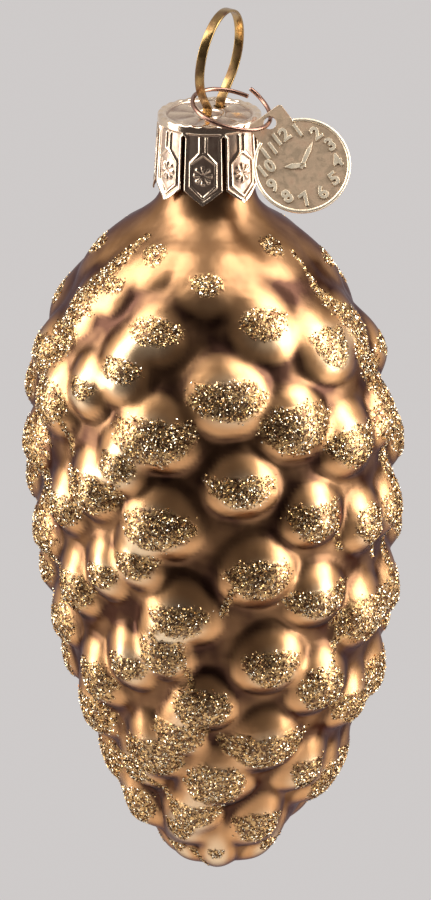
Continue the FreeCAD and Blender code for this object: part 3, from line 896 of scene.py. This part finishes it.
def make_glitter():
    """Glitter on the noses and along the sides, glued to the lacquer, in four quarters."""
    glass, cap, glitter = sizes().cone_glass, sizes().cone_cap, sizes().cone_glitter
    scales = make_scales(glass)
    random = np.random.default_rng(GRAIN_RANDOM)
    material = glitter_material(glitter)
    depth, azimuth = grain_places(glass, glitter, scales, random)
    here, normal = grain_frames(glass, cap, scales, depth, azimuth)
    quarter = np.floor((azimuth + math.pi) / (math.pi / 2)).astype(int).clip(0, 3)
    for number, name in enumerate(QUARTERS):
        keep = quarter == number
        points, faces = grain_mesh(here[keep], normal[keep], glitter, random)
        points = inside_box(points)
        piece = mesh_piece("glitter_" + name, points, faces, material, "ornament", False)
        set_values(piece.data, "tone", np.repeat(random.uniform(0, 1, int(keep.sum())), 4))


# Cap

LEAF_ROUND = 44
LEAF_DOWN = 92
PLATE_OUT = 56
BEAD_OUT = 14
PLATE_RAYS = 8
PLATE_STAMPING = 1.3
LEAST_TIP = 0.03
SLIT_EASE = 0.25 * MM
# How dark the painted shade in the stamped recesses is
STAMPED_SHADE = 0.55
SHEET_SHARE = 0.6
SLOT_CLEARANCE = 0.25 * MM


def line_ridge(x, y, start, stop, width):
    """1 on a straight line's middle, falling to 0 at its sides."""
    dx, dy = stop[0] - start[0], stop[1] - start[1]
    t = np.clip(((x - start[0]) * dx + (y - start[1]) * dy) / (dx * dx + dy * dy), 0, 1)
    away = np.hypot(x - start[0] - t * dx, y - start[1] - t * dy)
    return 1 - smoothstep(width * 0.45, width, away)


def leaf_pattern(x, v, half, cap):
    """Stamped height of a leaf, 0 to 1, at x across and v down in millimetres."""
    tip = (cap.leaf_side + cap.leaf_point) / MM
    side = cap.leaf_side / MM
    # Border along the straight sides and the point
    border = 1 - smoothstep(0.28, 0.5, half - np.abs(x))
    point = np.where(v > side - 0.6, 1 - smoothstep(0.25, 0.5, (tip - v) * 0.62 - np.abs(x) * 0.45), 0)
    height = np.maximum(border, point)
    # Hexagon frame under two ribs
    wide, top, upper, lower, bottom = 1.8, 3.7, 5.1, 8.3, 9.9
    corners = ((0, top), (wide, upper), (wide, lower), (0, bottom), (-wide, lower), (-wide, upper))
    for start, stop in zip(corners, corners[1:] + corners[:1]):
        height = np.maximum(height, line_ridge(x, v, start, stop, 0.24))
    for sign in (-1, 1):
        foot = (sign * 0.42, top - 0.1)
        height = np.maximum(height, line_ridge(x, v, (sign * 0.42, 1.5), foot, 0.24))
        height = np.maximum(height, line_ridge(x, v, foot, (sign * wide, upper), 0.2))
    # Rosette of eight petals
    middle = (upper + lower) / 2
    away = np.hypot(x, v - middle)
    petal = np.cos(4 * np.arctan2(v - middle, x)) ** 2
    petal = 0.95 * petal * smoothstep(0.15, 0.4, away) * (1 - smoothstep(1.15, 1.45, away))
    height = np.maximum(height, petal)
    # Band under the rim, and two dots at the point
    height = np.maximum(height, 1 - smoothstep(0.9, 1.2, v))
    for dot in (-0.28, 0.28):
        height = np.maximum(height, 1.2 * (1 - smoothstep(0.12, 0.26, np.hypot(x - dot, v - tip + 0.35))))
    return height


def make_leaf(cap, centre_turn):
    """Points of one leaf's outside, bent round the cap, and how deep each lies in the stamping."""
    tip = cap.leaf_side + cap.leaf_point
    start = cap.bead_height / 2
    v = start + (tip - start) * np.linspace(0, 1, LEAF_DOWN)[:, None]
    u = np.linspace(-1, 1, LEAF_ROUND)[None, :]
    radius = cap.radius + cap.flare * v / tip
    half = math.pi * radius / cap.leaf_count
    half = half - cap.slit_width / 2 * smoothstep(cap.slit_top, cap.slit_top + SLIT_EASE, v)
    half = half * np.clip((tip - v) / cap.leaf_point, LEAST_TIP, 1)
    x = u * half
    across = np.ones_like(u)
    height = leaf_pattern(x / MM, v * across / MM, half * across / MM, cap)
    r = radius + (height - 1) * cap.stamping
    turn = x / radius + centre_turn
    points = np.stack((r * np.sin(turn), -r * np.cos(turn), -v * across), axis=-1)
    return points, np.clip(1 - height, 0, 1)


def plate_pattern(r, turn):
    """Stamped height of the top plate, 0 to 1, at a radius in millimetres."""
    rays = np.abs((turn * PLATE_RAYS / math.pi) % 2 - 1)
    star = rays * smoothstep(2.0, 2.5, r) * (1 - smoothstep(5.3, 5.8, r))
    ring = 1 - smoothstep(0.12, 0.3, np.abs(r - 1.9))
    rim = smoothstep(5.7, 5.95, r)
    return np.maximum(np.maximum(star, ring), rim)


def make_plate(cap):
    """Points of the top plate and its notched bead, how deep each lies, and how many go out and round."""
    seat = cap.radius - cap.bead_width
    bead_out = seat + cap.bead_width * np.linspace(0.05, 1, BEAD_OUT)
    r = np.concatenate((np.linspace(0.02 * MM, seat, PLATE_OUT), bead_out))[:, None]
    round_count = cap.leaf_count * (LEAF_ROUND - 1)
    turn = np.linspace(0, 2 * math.pi, round_count, endpoint=False)[None, :]
    turn = turn + cap.leaf_turn - math.pi / cap.leaf_count
    bead = (r - seat) / cap.bead_width
    notches = 0.7 + 0.3 * np.cos((turn - cap.leaf_turn) * 3 * cap.leaf_count)
    round_bead = np.sqrt(np.clip(1 - (2 * bead - 1) ** 2, 0, 1)) * cap.bead_height * notches
    height = plate_pattern(r / MM, turn)
    flat = (height - 1) * cap.stamping * PLATE_STAMPING
    z = np.where(bead > 0, round_bead - np.clip(bead - 0.6, 0, 1) * cap.bead_height * 1.25, flat)
    points = np.stack((r * np.sin(turn), -r * np.cos(turn), z * np.ones_like(turn)), axis=-1)
    return points, np.where(bead > 0, 0, np.clip(1 - height, 0, 1)), (len(r), round_count)


def make_cap():
    """Stamped cap: its leaves and top plate as one sheet with a thickness, and the two slots."""
    cap = sizes().cone_cap
    points, hollows, faces = [], [], []
    first = 0
    for leaf in range(cap.leaf_count):
        grid, hollow = make_leaf(cap, cap.leaf_turn + 2 * math.pi * leaf / cap.leaf_count)
        points.append(grid.reshape(-1, 3))
        hollows.append(hollow.ravel())
        for face in net_faces(LEAF_DOWN, LEAF_ROUND, False):
            faces.append(tuple(first + corner for corner in face))
        first += LEAF_DOWN * LEAF_ROUND
    plate, hollow, net = make_plate(cap)
    points.append(plate.reshape(-1, 3))
    hollows.append(hollow.ravel())
    faces += [tuple(first + corner for corner in reversed(face)) for face in net_faces(*net)]

    points = np.concatenate(points) + np.array(cap_middle(cap))
    material = tarnished_metal("stamped_brass", cap.brass, cap.tarnish, 0.3, 0.13, hollow=True)
    piece = mesh_piece("stamped_cap", points, faces, material, "ornament")
    # Painted shade in the stamped recesses
    set_values(piece.data, "hollow", np.concatenate(hollows) * STAMPED_SHADE)
    join_close_points(piece, 0.03 * MM)
    sheet = piece.modifiers.new("sheet", "SOLIDIFY")
    sheet.thickness = cap.thickness * SHEET_SHARE
    sheet.offset = -1
    apply_modifiers(piece)
    cut_slots(piece)
    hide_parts("cap")


def cut_slots(piece):
    """Cut the two slots that the hanger's legs go through."""
    hanger, cap = sizes().cone_hanger, sizes().cone_cap
    width = hanger.strip_thickness + 2 * SLOT_CLEARANCE
    length_along = hanger.strip_width + 2 * SLOT_CLEARANCE
    made = bmesh.new()
    for side in (-1, 1):
        turn = Matrix.Rotation(-math.pi / 2 - hanger.loop_turn, 4, "Z")
        move = Matrix.Translation((side * hanger.leg_offset, 0, 0))
        stretch = Matrix.Diagonal((width, length_along, 6 * cap.thickness, 1))
        place_at = Matrix.Translation(hanger_foot(hanger, cap)) @ turn @ move @ stretch
        bmesh.ops.create_cube(made, size=1, matrix=place_at)
    mesh = bpy.data.meshes.new("slot_cutter")
    made.to_mesh(mesh)
    made.free()
    cutter = bpy.data.objects.new("slot_cutter", mesh)
    bpy.context.scene.collection.objects.link(cutter)
    cut = piece.modifiers.new("slots", "BOOLEAN")
    cut.operation = "DIFFERENCE"
    cut.solver = "EXACT"
    cut.object = cutter
    apply_modifiers(piece)
    bpy.data.objects.remove(cutter)


# Hanger

ARC_STEP = math.radians(4)
SECTION_CORNER = 0.09 * MM


def turned(x, y, turn):
    """A flat point turned about the origin."""
    return x * math.cos(turn) - y * math.sin(turn), x * math.sin(turn) + y * math.cos(turn)


def hanger_foot(hanger, cap):
    """Place between the hanger's legs on the cap's top plate."""
    return cap_middle(cap) + Vector((hanger.right, hanger.back, 0))


def leg_line(hanger, splay):
    """Points and directions of the strip's middle, from a leg's end to the loop's top."""
    slope = hanger.shank_slope
    offset, drop, pinch = hanger.leg_offset, hanger.leg_drop, hanger.pinch_height
    shank = (hanger.loop_radius * math.cos(slope) - offset) / math.sin(slope)
    centre = pinch + shank * math.cos(slope) + hanger.loop_radius * math.sin(slope)
    low_bend = (offset + hanger.splay_radius, -drop + hanger.splay_radius * math.tan(splay / 2))
    high_bend = (offset + hanger.pinch_radius, pinch - hanger.pinch_radius * math.tan(slope / 2))
    end = (offset + hanger.leg_length * math.sin(splay), -drop - hanger.leg_length * math.cos(splay))
    line = [(end, (-math.sin(splay), math.cos(splay)))]
    line += arc(low_bend, hanger.splay_radius, math.pi + splay, math.pi)
    line += arc(high_bend, hanger.pinch_radius, math.pi, math.pi - slope)
    return line + arc((0, centre), hanger.loop_radius, -slope, math.pi / 2)


def hanger_line(hanger):
    """Points and directions of the strip's middle, from the near leg's end to the far leg's end."""
    near = leg_line(hanger, hanger.near_splay)
    far = leg_line(hanger, hanger.far_splay)
    return near + [((-x, z), (dx, -dz)) for (x, z), (dx, dz) in reversed(far[:-1])]


def arc(centre, radius, start, stop):
    """Points and directions round an arc."""
    count = max(2, int(abs(stop - start) / ARC_STEP))
    sign = 1 if stop > start else -1
    found = []
    for step in range(count + 1):
        turn = start + (stop - start) * step / count
        x, z = turned(radius, 0, turn)
        found.append(((centre[0] + x, centre[1] + z), (-sign * math.sin(turn), sign * math.cos(turn))))
    return found


def strip_section(width, thickness):
    """Rectangle with rounded corners, x through the strip and y across it."""
    section = []
    half_x, half_y = thickness / 2 - SECTION_CORNER, width / 2 - SECTION_CORNER
    for right, up, first in ((1, 1, 0), (-1, 1, 1), (-1, -1, 2), (1, -1, 3)):
        for step in range(4):
            x, y = turned(SECTION_CORNER, 0, (first + step / 3) * math.pi / 2)
            section.append((right * half_x + x, up * half_y + y))
    return section


def make_hanger():
    """Bent strip with its loop above the cap and its legs in the neck."""
    hanger, cap = sizes().cone_hanger, sizes().cone_cap
    line = hanger_line(hanger)
    path = [Vector((x, 0, z)) for (x, z), _ in line]
    along = [Vector((dx, 0, dz)).normalized() for _, (dx, dz) in line]
    normals = [Vector((direction.z, 0, -direction.x)) for direction in along]
    rows = sweep(path, along, normals, strip_section(hanger.strip_width, hanger.strip_thickness))
    points, faces = capped(rows)
    stand = Matrix.Translation(hanger_foot(hanger, cap))
    stand = stand @ Matrix.Rotation(-math.pi / 2 - hanger.loop_turn, 4, "Z")
    stand = stand @ Matrix.Rotation(-hanger.loop_lean, 4, "X")
    points = [stand @ point for point in points]
    material = tarnished_metal("strip_brass", hanger.gold, hanger.tarnish, 1.3, 0.18, grain=1800, scale=330)
    piece = mesh_piece("hanger_strip", points, faces, material, "ornament")
    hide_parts("hanger_loop")


# Jump ring

RING_STEPS = 200
RING_SIDES = 20


def ring_frame(ring, cap):
    """From the ring's own plane to its place on the cap."""
    centre = cap_middle(cap) + Vector((ring.right, -ring.front, ring.lift))
    slant = Matrix.Rotation(ring.tilt, 4, "Y") @ Matrix.Rotation(ring.pitch, 4, "X")
    return Matrix.Translation(centre) @ slant


def ring_wire_point(ring, turn, x, z):
    """A point beside the wire's middle: x outwards and z up from the ring's plane."""
    px, py = turned(ring.radius + x, 0, ring.start + turn)
    point = Vector((px, py, z))
    if turn > ring.turn:
        joint = ring.start + ring.turn
        at = Vector((*turned(ring.radius, 0, joint), 0))
        axis = Vector((*turned(1, 0, joint + math.pi / 2), 0))
        point = at + Matrix.Rotation(ring.spring_angle, 3, axis) @ (point - at)
    return point


def make_jump_ring():
    """Round wire, flat for most of a turn, with its last part sprung up past its start."""
    ring, cap = sizes().cone_ring, sizes().cone_cap
    whole = ring.turn + ring.spring_turn
    to_cap = ring_frame(ring, cap)
    rows = []
    for step in range(RING_STEPS + 1):
        turn = whole * step / RING_STEPS
        row = []
        for side in range(RING_SIDES):
            x, z = turned(ring.wire / 2, 0, 2 * math.pi * side / RING_SIDES)
            row.append(to_cap @ ring_wire_point(ring, turn, x, z))
        rows.append(row)
    points, faces = capped(rows)
    material = tarnished_metal("copper_wire", ring.copper, ring.tarnish, 0.5, 0.22, grain=1500)
    piece = mesh_piece("jump_ring_wire", points, faces, material, "ring")
    join_close_points(piece, 0.0001 * MM)
    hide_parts("jump_ring")


# Charm

CHARM_ROUND = 160
HOLE_ROUND = 32
RIM_SIDES = 12
TAB_CORNER = 0.3 * MM
PLATE_BEVEL = 0.06 * MM
HAND_BEVEL = 0.05 * MM
HAND_TAIL = 0.5 * MM
NUMERAL_WEIGHT = 0.07 * MM
NUMERAL_BEVEL = 0.03 * MM
NUMERAL_INSET = 0.52
RIM_RISE = 1.2


def charm_frame(charm):
    """From the charm upright about its disc's centre to its place on the ring."""
    hole_up = charm.radius + charm.tab_drop
    hung = Matrix.Translation((0, 0, -hole_up - charm.hole_drop))
    lean = Matrix.Rotation(-charm.lean, 4, "Y")
    pitch = Matrix.Rotation(-charm.pitch, 4, "X")
    yaw = Matrix.Rotation(-charm.yaw, 4, "Z")
    return Matrix.Translation(charm_pivot) @ yaw @ pitch @ lean @ hung


def rim_turns(charm):
    """Turns round the disc from one side of the tab to the other."""
    corner = math.asin(charm.tab_width / 2 / charm.radius)
    return [corner + (2 * math.pi - 2 * corner) * step / CHARM_ROUND for step in range(CHARM_ROUND + 1)]


def plate_curve(charm):
    """Outline of the disc and its tab as one closed line, and the hole."""
    half = charm.tab_width / 2
    top = charm.radius + charm.tab_drop + charm.tab_height / 2
    line = [(charm.radius * math.sin(turn), charm.radius * math.cos(turn)) for turn in rim_turns(charm)]
    line += [(-half, top - TAB_CORNER), (-half + TAB_CORNER, top)]
    line += [(half - TAB_CORNER, top), (half, top - TAB_CORNER)]
    hole_up = charm.radius + charm.tab_drop
    hole = [turned(charm.hole / 2, 0, 2 * math.pi * step / HOLE_ROUND) for step in range(HOLE_ROUND)]
    return line, [(x, y + hole_up) for x, y in hole]


def flat_curve(name, lines, depth, bevel):
    """Filled flat outlines given a thickness and a rounded edge, as a mesh in the charm's plane."""
    made = bpy.data.curves.new(name, "CURVE")
    made.dimensions = "2D"
    made.fill_mode = "BOTH"
    made.extrude = depth / 2 - bevel
    made.bevel_depth = bevel
    made.bevel_resolution = 2
    made.offset = -bevel
    for line in lines:
        spline = made.splines.new("POLY")
        spline.points.add(len(line) - 1)
        for point, (x, y) in zip(spline.points, line):
            point.co = (x, y, 0, 1)
        spline.use_cyclic_u = True
    return mesh_of(made, name)


def mesh_of(made, name):
    """The mesh of a curve or text, which is then removed."""
    holder = bpy.data.objects.new(name + "_curve", made)
    bpy.context.scene.collection.objects.link(holder)
    graph = bpy.context.evaluated_depsgraph_get()
    mesh = bpy.data.meshes.new_from_object(holder.evaluated_get(graph))
    bpy.data.objects.remove(holder)
    return mesh


def numeral_mesh(text, height, depth):
    """A raised number of the dial, about its own middle."""
    made = bpy.data.curves.new("numeral", "FONT")
    made.body = text
    made.size = height
    made.align_x = "CENTER"
    made.align_y = "CENTER"
    made.extrude = depth / 2
    made.offset = NUMERAL_WEIGHT
    made.bevel_depth = NUMERAL_BEVEL
    made.resolution_u = 3
    return mesh_of(made, "numeral")


def joined(name, parts):
    """One mesh from several, each with its own place."""
    made = bmesh.new()
    for mesh, place_at in parts:
        before = len(made.verts)
        made.from_mesh(mesh)
        made.verts.ensure_lookup_table()
        bmesh.ops.transform(made, matrix=place_at, verts=made.verts[before:])
    mesh = bpy.data.meshes.new(name)
    made.to_mesh(mesh)
    made.free()
    return mesh


def face_piece(name, mesh, charm, material, smooth):
    """A part of the charm, from its own plane (x right, y up, z out of the face) to its place."""
    to_face = Matrix.Rotation(math.pi / 2, 4, "X")
    mesh.transform(charm_frame(charm) @ to_face)
    mesh.materials.clear()
    mesh.materials.append(material)
    mesh.polygons.foreach_set("use_smooth", [smooth] * len(mesh.polygons))
    piece = bpy.data.objects.new(name, mesh)
    bpy.context.scene.collection.objects.link(piece)
    return place(piece, "charm")


def rim_mesh(charm):
    """Raised rim round the disc, open where the tab joins it."""
    rise = charm.recess * RIM_RISE
    rows = []
    for turn in rim_turns(charm):
        row = []
        for side in range(RIM_SIDES):
            bow = 2 * math.pi * side / RIM_SIDES
            r = charm.radius - charm.rim / 2 + charm.rim / 2 * math.cos(bow)
            z = charm.thickness / 2 - rise + rise * math.sin(bow)
            row.append(Vector((r * math.sin(turn), r * math.cos(turn), z)))
        rows.append(row)
    points, faces = capped(rows)
    mesh = bpy.data.meshes.new("rim")
    mesh.from_pydata([tuple(point) for point in points], [], faces)
    return mesh


def hand_mesh(length_out, width, depth, turn):
    """A pointed hand from the middle outwards."""
    wide, shoulder = width * 0.62, length_out * 0.6
    line = [(-width / 2, -HAND_TAIL), (width / 2, -HAND_TAIL)]
    line += [(wide, shoulder), (0, length_out), (-wide, shoulder)]
    mesh = flat_curve("hand", [line], depth, HAND_BEVEL)
    mesh.transform(Matrix.Rotation(-turn, 4, "Z"))
    return mesh


def make_charm():
    """Charm with a plain dial: its plate and tab, its rim, and its numbers and hands."""
    charm = sizes().cone_charm
    face_level = charm.thickness / 2 - charm.recess
    depth = charm.thickness - charm.recess
    line, hole = plate_curve(charm)
    plate = flat_curve("plate", [line, hole], depth, PLATE_BEVEL)
    plate.transform(Matrix.Translation((0, 0, face_level - depth / 2)))
    metal = tarnished_metal("charm_brass", charm.brass, charm.tarnish, 0.7, 0.42, grain=1400)
    bright = tarnished_metal("charm_raised", charm.raised, charm.brass, 0.3, 0.42, grain=1800)
    body = face_piece("charm_plate", plate, charm, metal, False)
    face_piece("charm_rim", rim_mesh(charm), charm, bright, True)

    parts = []
    ring = charm.radius - charm.rim - charm.numeral * NUMERAL_INSET
    raised = Matrix.Translation((0, 0, face_level + charm.relief / 2))
    for hour in range(1, 13):
        turn = 2 * math.pi * hour / 12
        at = raised @ Matrix.Translation((ring * math.sin(turn), ring * math.cos(turn), 0))
        parts.append((numeral_mesh(str(hour), charm.numeral, charm.relief), at))
    hour_hand = hand_mesh(charm.hour_length, charm.hour_width, charm.relief, charm.hour_angle)
    minute_hand = hand_mesh(charm.minute_length, charm.minute_width, charm.relief, charm.minute_angle)
    parts += [(hour_hand, raised), (minute_hand, raised)]
    face_piece("charm_dial", joined("dial", parts), charm, bright, False)
    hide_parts("charm")


# Stage


SOFTBOX_HEIGHT = 1.8
SOFTBOX_AIM = (0, 0, -0.06)
SOFTBOX_TINT = (1, 0.98, 0.95)
ROOM_FRONT = (0.065, 0.055, 0.055)
ROOM_TOP = (0.10, 0.085, 0.08)
ROOM_TOP_SHARE = 0.8
FLOOR_ROUGHNESS = 0.9
CAP_RIGHT = 0.81 * MM
CAP_ABOVE = 45.56 * MM


def softbox(name, at, width, power):
    """A tall soft lamp that shows in the lacquer and not to the camera."""
    lamp = bpy.data.lights.new(name, "AREA")
    lamp.shape = "RECTANGLE"
    lamp.size = width
    lamp.size_y = SOFTBOX_HEIGHT
    lamp.energy = power
    lamp.color = SOFTBOX_TINT
    holder = bpy.data.objects.new(name, lamp)
    bpy.context.scene.collection.objects.link(holder)
    holder.location = at
    holder.rotation_euler = (Vector(SOFTBOX_AIM) - Vector(at)).to_track_quat("-Z", "Y").to_euler()
    holder.visible_camera = False


def floor_material(backdrop):
    """Pale matt floor with a faint grain."""
    material, tree, shader = new_material("pale_floor", 0.0)
    shader.inputs["Base Color"].default_value = (*backdrop, 1)
    shader.inputs["Roughness"].default_value = FLOOR_ROUGHNESS
    add_bump(tree, shader, noise(tree, 40, 2), 0.05, 0.001)
    return material


def make_world(backdrop):
    """A pale backdrop, with a dark room in front of the ornament."""
    world = bpy.data.worlds.new("studio")
    bpy.context.scene.world = world
    world.use_nodes = True
    tree = world.node_tree
    background = tree.nodes["Background"]
    direction = node(tree, "ShaderNodeSeparateXYZ")
    tree.links.new(node(tree, "ShaderNodeTexCoord").outputs["Generated"], direction.inputs[0])
    front = value_range(tree, direction.outputs["Y"], -0.2, 0.45, 1, 0)
    high = value_range(tree, direction.outputs["Z"], 0.2, 0.9, 0, 1)
    room = mix_colours(tree, front, backdrop, ROOM_FRONT)
    room = mix_colours(tree, math_node(tree, "MULTIPLY", high, ROOM_TOP_SHARE), room, ROOM_TOP)
    paths = node(tree, "ShaderNodeLightPath").outputs
    seen_in = math_node(tree, "ADD", paths["Is Glossy Ray"], paths["Is Transmission Ray"], True)
    behind = math_node(tree, "MULTIPLY", seen_in, math_node(tree, "SUBTRACT", 1.0, front))
    seen = math_node(tree, "ADD", paths["Is Camera Ray"], behind, True)
    shown = mix_colours(tree, seen, room, backdrop)
    tree.links.new(shown, background.inputs["Color"])
    background.inputs["Strength"].default_value = 1


def make_camera(stage, cap):
    """A long lens at the photograph's angle; the aim puts the cap where the picture has it."""
    camera = bpy.data.cameras.new("camera")
    camera.lens = stage.lens
    holder = bpy.data.objects.new("camera", camera)
    bpy.context.scene.collection.objects.link(holder)
    distance = stage.frame_height * stage.lens / camera.sensor_width
    back = Vector((0, -math.cos(stage.elevation), math.sin(stage.elevation)))
    up = Vector((0, math.sin(stage.elevation), math.cos(stage.elevation)))
    aim = cap_middle(cap) + Vector((CAP_RIGHT, 0, 0)) - up * CAP_ABOVE
    holder.location = aim + back * distance
    holder.rotation_euler = (-back).to_track_quat("-Z", "Y").to_euler()
    camera.clip_start = 0.01
    camera.clip_end = 20
    bpy.context.scene.camera = holder


def make_stage():
    """Camera, room, pale floor and the two softboxes."""
    stage, cap = sizes().cone_stage, sizes().cone_cap
    bpy.context.scene.view_settings.view_transform = "Standard"
    make_camera(stage, cap)
    make_world(stage.backdrop)
    made = bmesh.new()
    bmesh.ops.create_circle(made, cap_ends=True, segments=96, radius=stage.floor_radius)
    mesh = bpy.data.meshes.new("floor")
    made.to_mesh(mesh)
    made.free()
    mesh.materials.append(floor_material(stage.backdrop))
    floor = bpy.data.objects.new("floor", mesh)
    bpy.context.scene.collection.objects.link(floor)
    floor.location.z = -stage.floor_drop
    softbox("right_softbox", (0.7, -0.08, 0.34), 0.44, 20.0)
    softbox("left_softbox", (-0.7, -0.04, 0.34), 0.42, 16.5)


# Operators and panel


class StageOperator(Operator):
    """Set up the camera, the lamps, the pale floor and the backdrop"""

    bl_idname = "pine_cone.stage"
    bl_label = "Stage"

    def execute(self, context):
        make_stage()
        return {"FINISHED"}


class GlassOperator(Operator):
    """Build the blown glass with its scales and its lacquer"""

    bl_idname = "pine_cone.glass"
    bl_label = "Glass"

    def execute(self, context):
        make_glass()
        return {"FINISHED"}


class GlitterOperator(Operator):
    """Build the grains of glitter on the scales"""

    bl_idname = "pine_cone.glitter"
    bl_label = "Glitter"

    def execute(self, context):
        make_glitter()
        return {"FINISHED"}


class CapOperator(Operator):
    """Build the stamped cap with its leaves"""

    bl_idname = "pine_cone.cap"
    bl_label = "Cap"

    def execute(self, context):
        make_cap()
        return {"FINISHED"}


class HangerOperator(Operator):
    """Build the hanger's bent strip"""

    bl_idname = "pine_cone.hanger"
    bl_label = "Hanger"

    def execute(self, context):
        make_hanger()
        return {"FINISHED"}


class JumpRingOperator(Operator):
    """Build the jump ring's wire"""

    bl_idname = "pine_cone.jump_ring"
    bl_label = "Jump Ring"

    def execute(self, context):
        make_jump_ring()
        return {"FINISHED"}


class CharmOperator(Operator):
    """Build the charm with its rim, numerals and hands"""

    bl_idname = "pine_cone.charm"
    bl_label = "Charm"

    def execute(self, context):
        make_charm()
        return {"FINISHED"}


OPERATORS = (
    StageOperator,
    GlassOperator,
    GlitterOperator,
    CapOperator,
    HangerOperator,
    JumpRingOperator,
    CharmOperator,
)
GROUPS = {
    "cone_stage": StageSizes,
    "cone_glass": GlassSizes,
    "cone_glitter": GlitterSizes,
    "cone_cap": CapSizes,
    "cone_hanger": HangerSizes,
    "cone_ring": RingSizes,
    "cone_charm": CharmSizes,
}


class PineConePanel(Panel):
    """Lists the ornament's pieces and their sizes"""

    bl_idname = "VIEW3D_PT_pine_cone"
    bl_label = "Pine Cone Ornament"
    bl_space_type = "VIEW_3D"
    bl_region_type = "UI"
    bl_category = "Pine Cone"

    def draw(self, context):
        for operator, (group, kind) in zip(OPERATORS, GROUPS.items()):
            box = self.layout.box()
            box.operator(operator.bl_idname)
            for name in kind.__annotations__:
                box.prop(getattr(context.scene, group), name)


def register():
    """Register the classes and give the scene its groups of sizes."""
    for kind in (*GROUPS.values(), *OPERATORS, PineConePanel):
        bpy.utils.register_class(kind)
    for name, kind in GROUPS.items():
        setattr(bpy.types.Scene, name, PointerProperty(type=kind))


def unregister():
    """Take away what register added."""
    for name in GROUPS:
        delattr(bpy.types.Scene, name)
    for kind in (PineConePanel, *reversed(OPERATORS), *reversed(GROUPS.values())):
        bpy.utils.unregister_class(kind)


def main():
    """Build the stage and every piece in turn."""
    register()
    for operator in OPERATORS:
        family, name = operator.bl_idname.split(".")
        getattr(getattr(bpy.ops, family), name)()


if __name__ == "__main__":
    main()
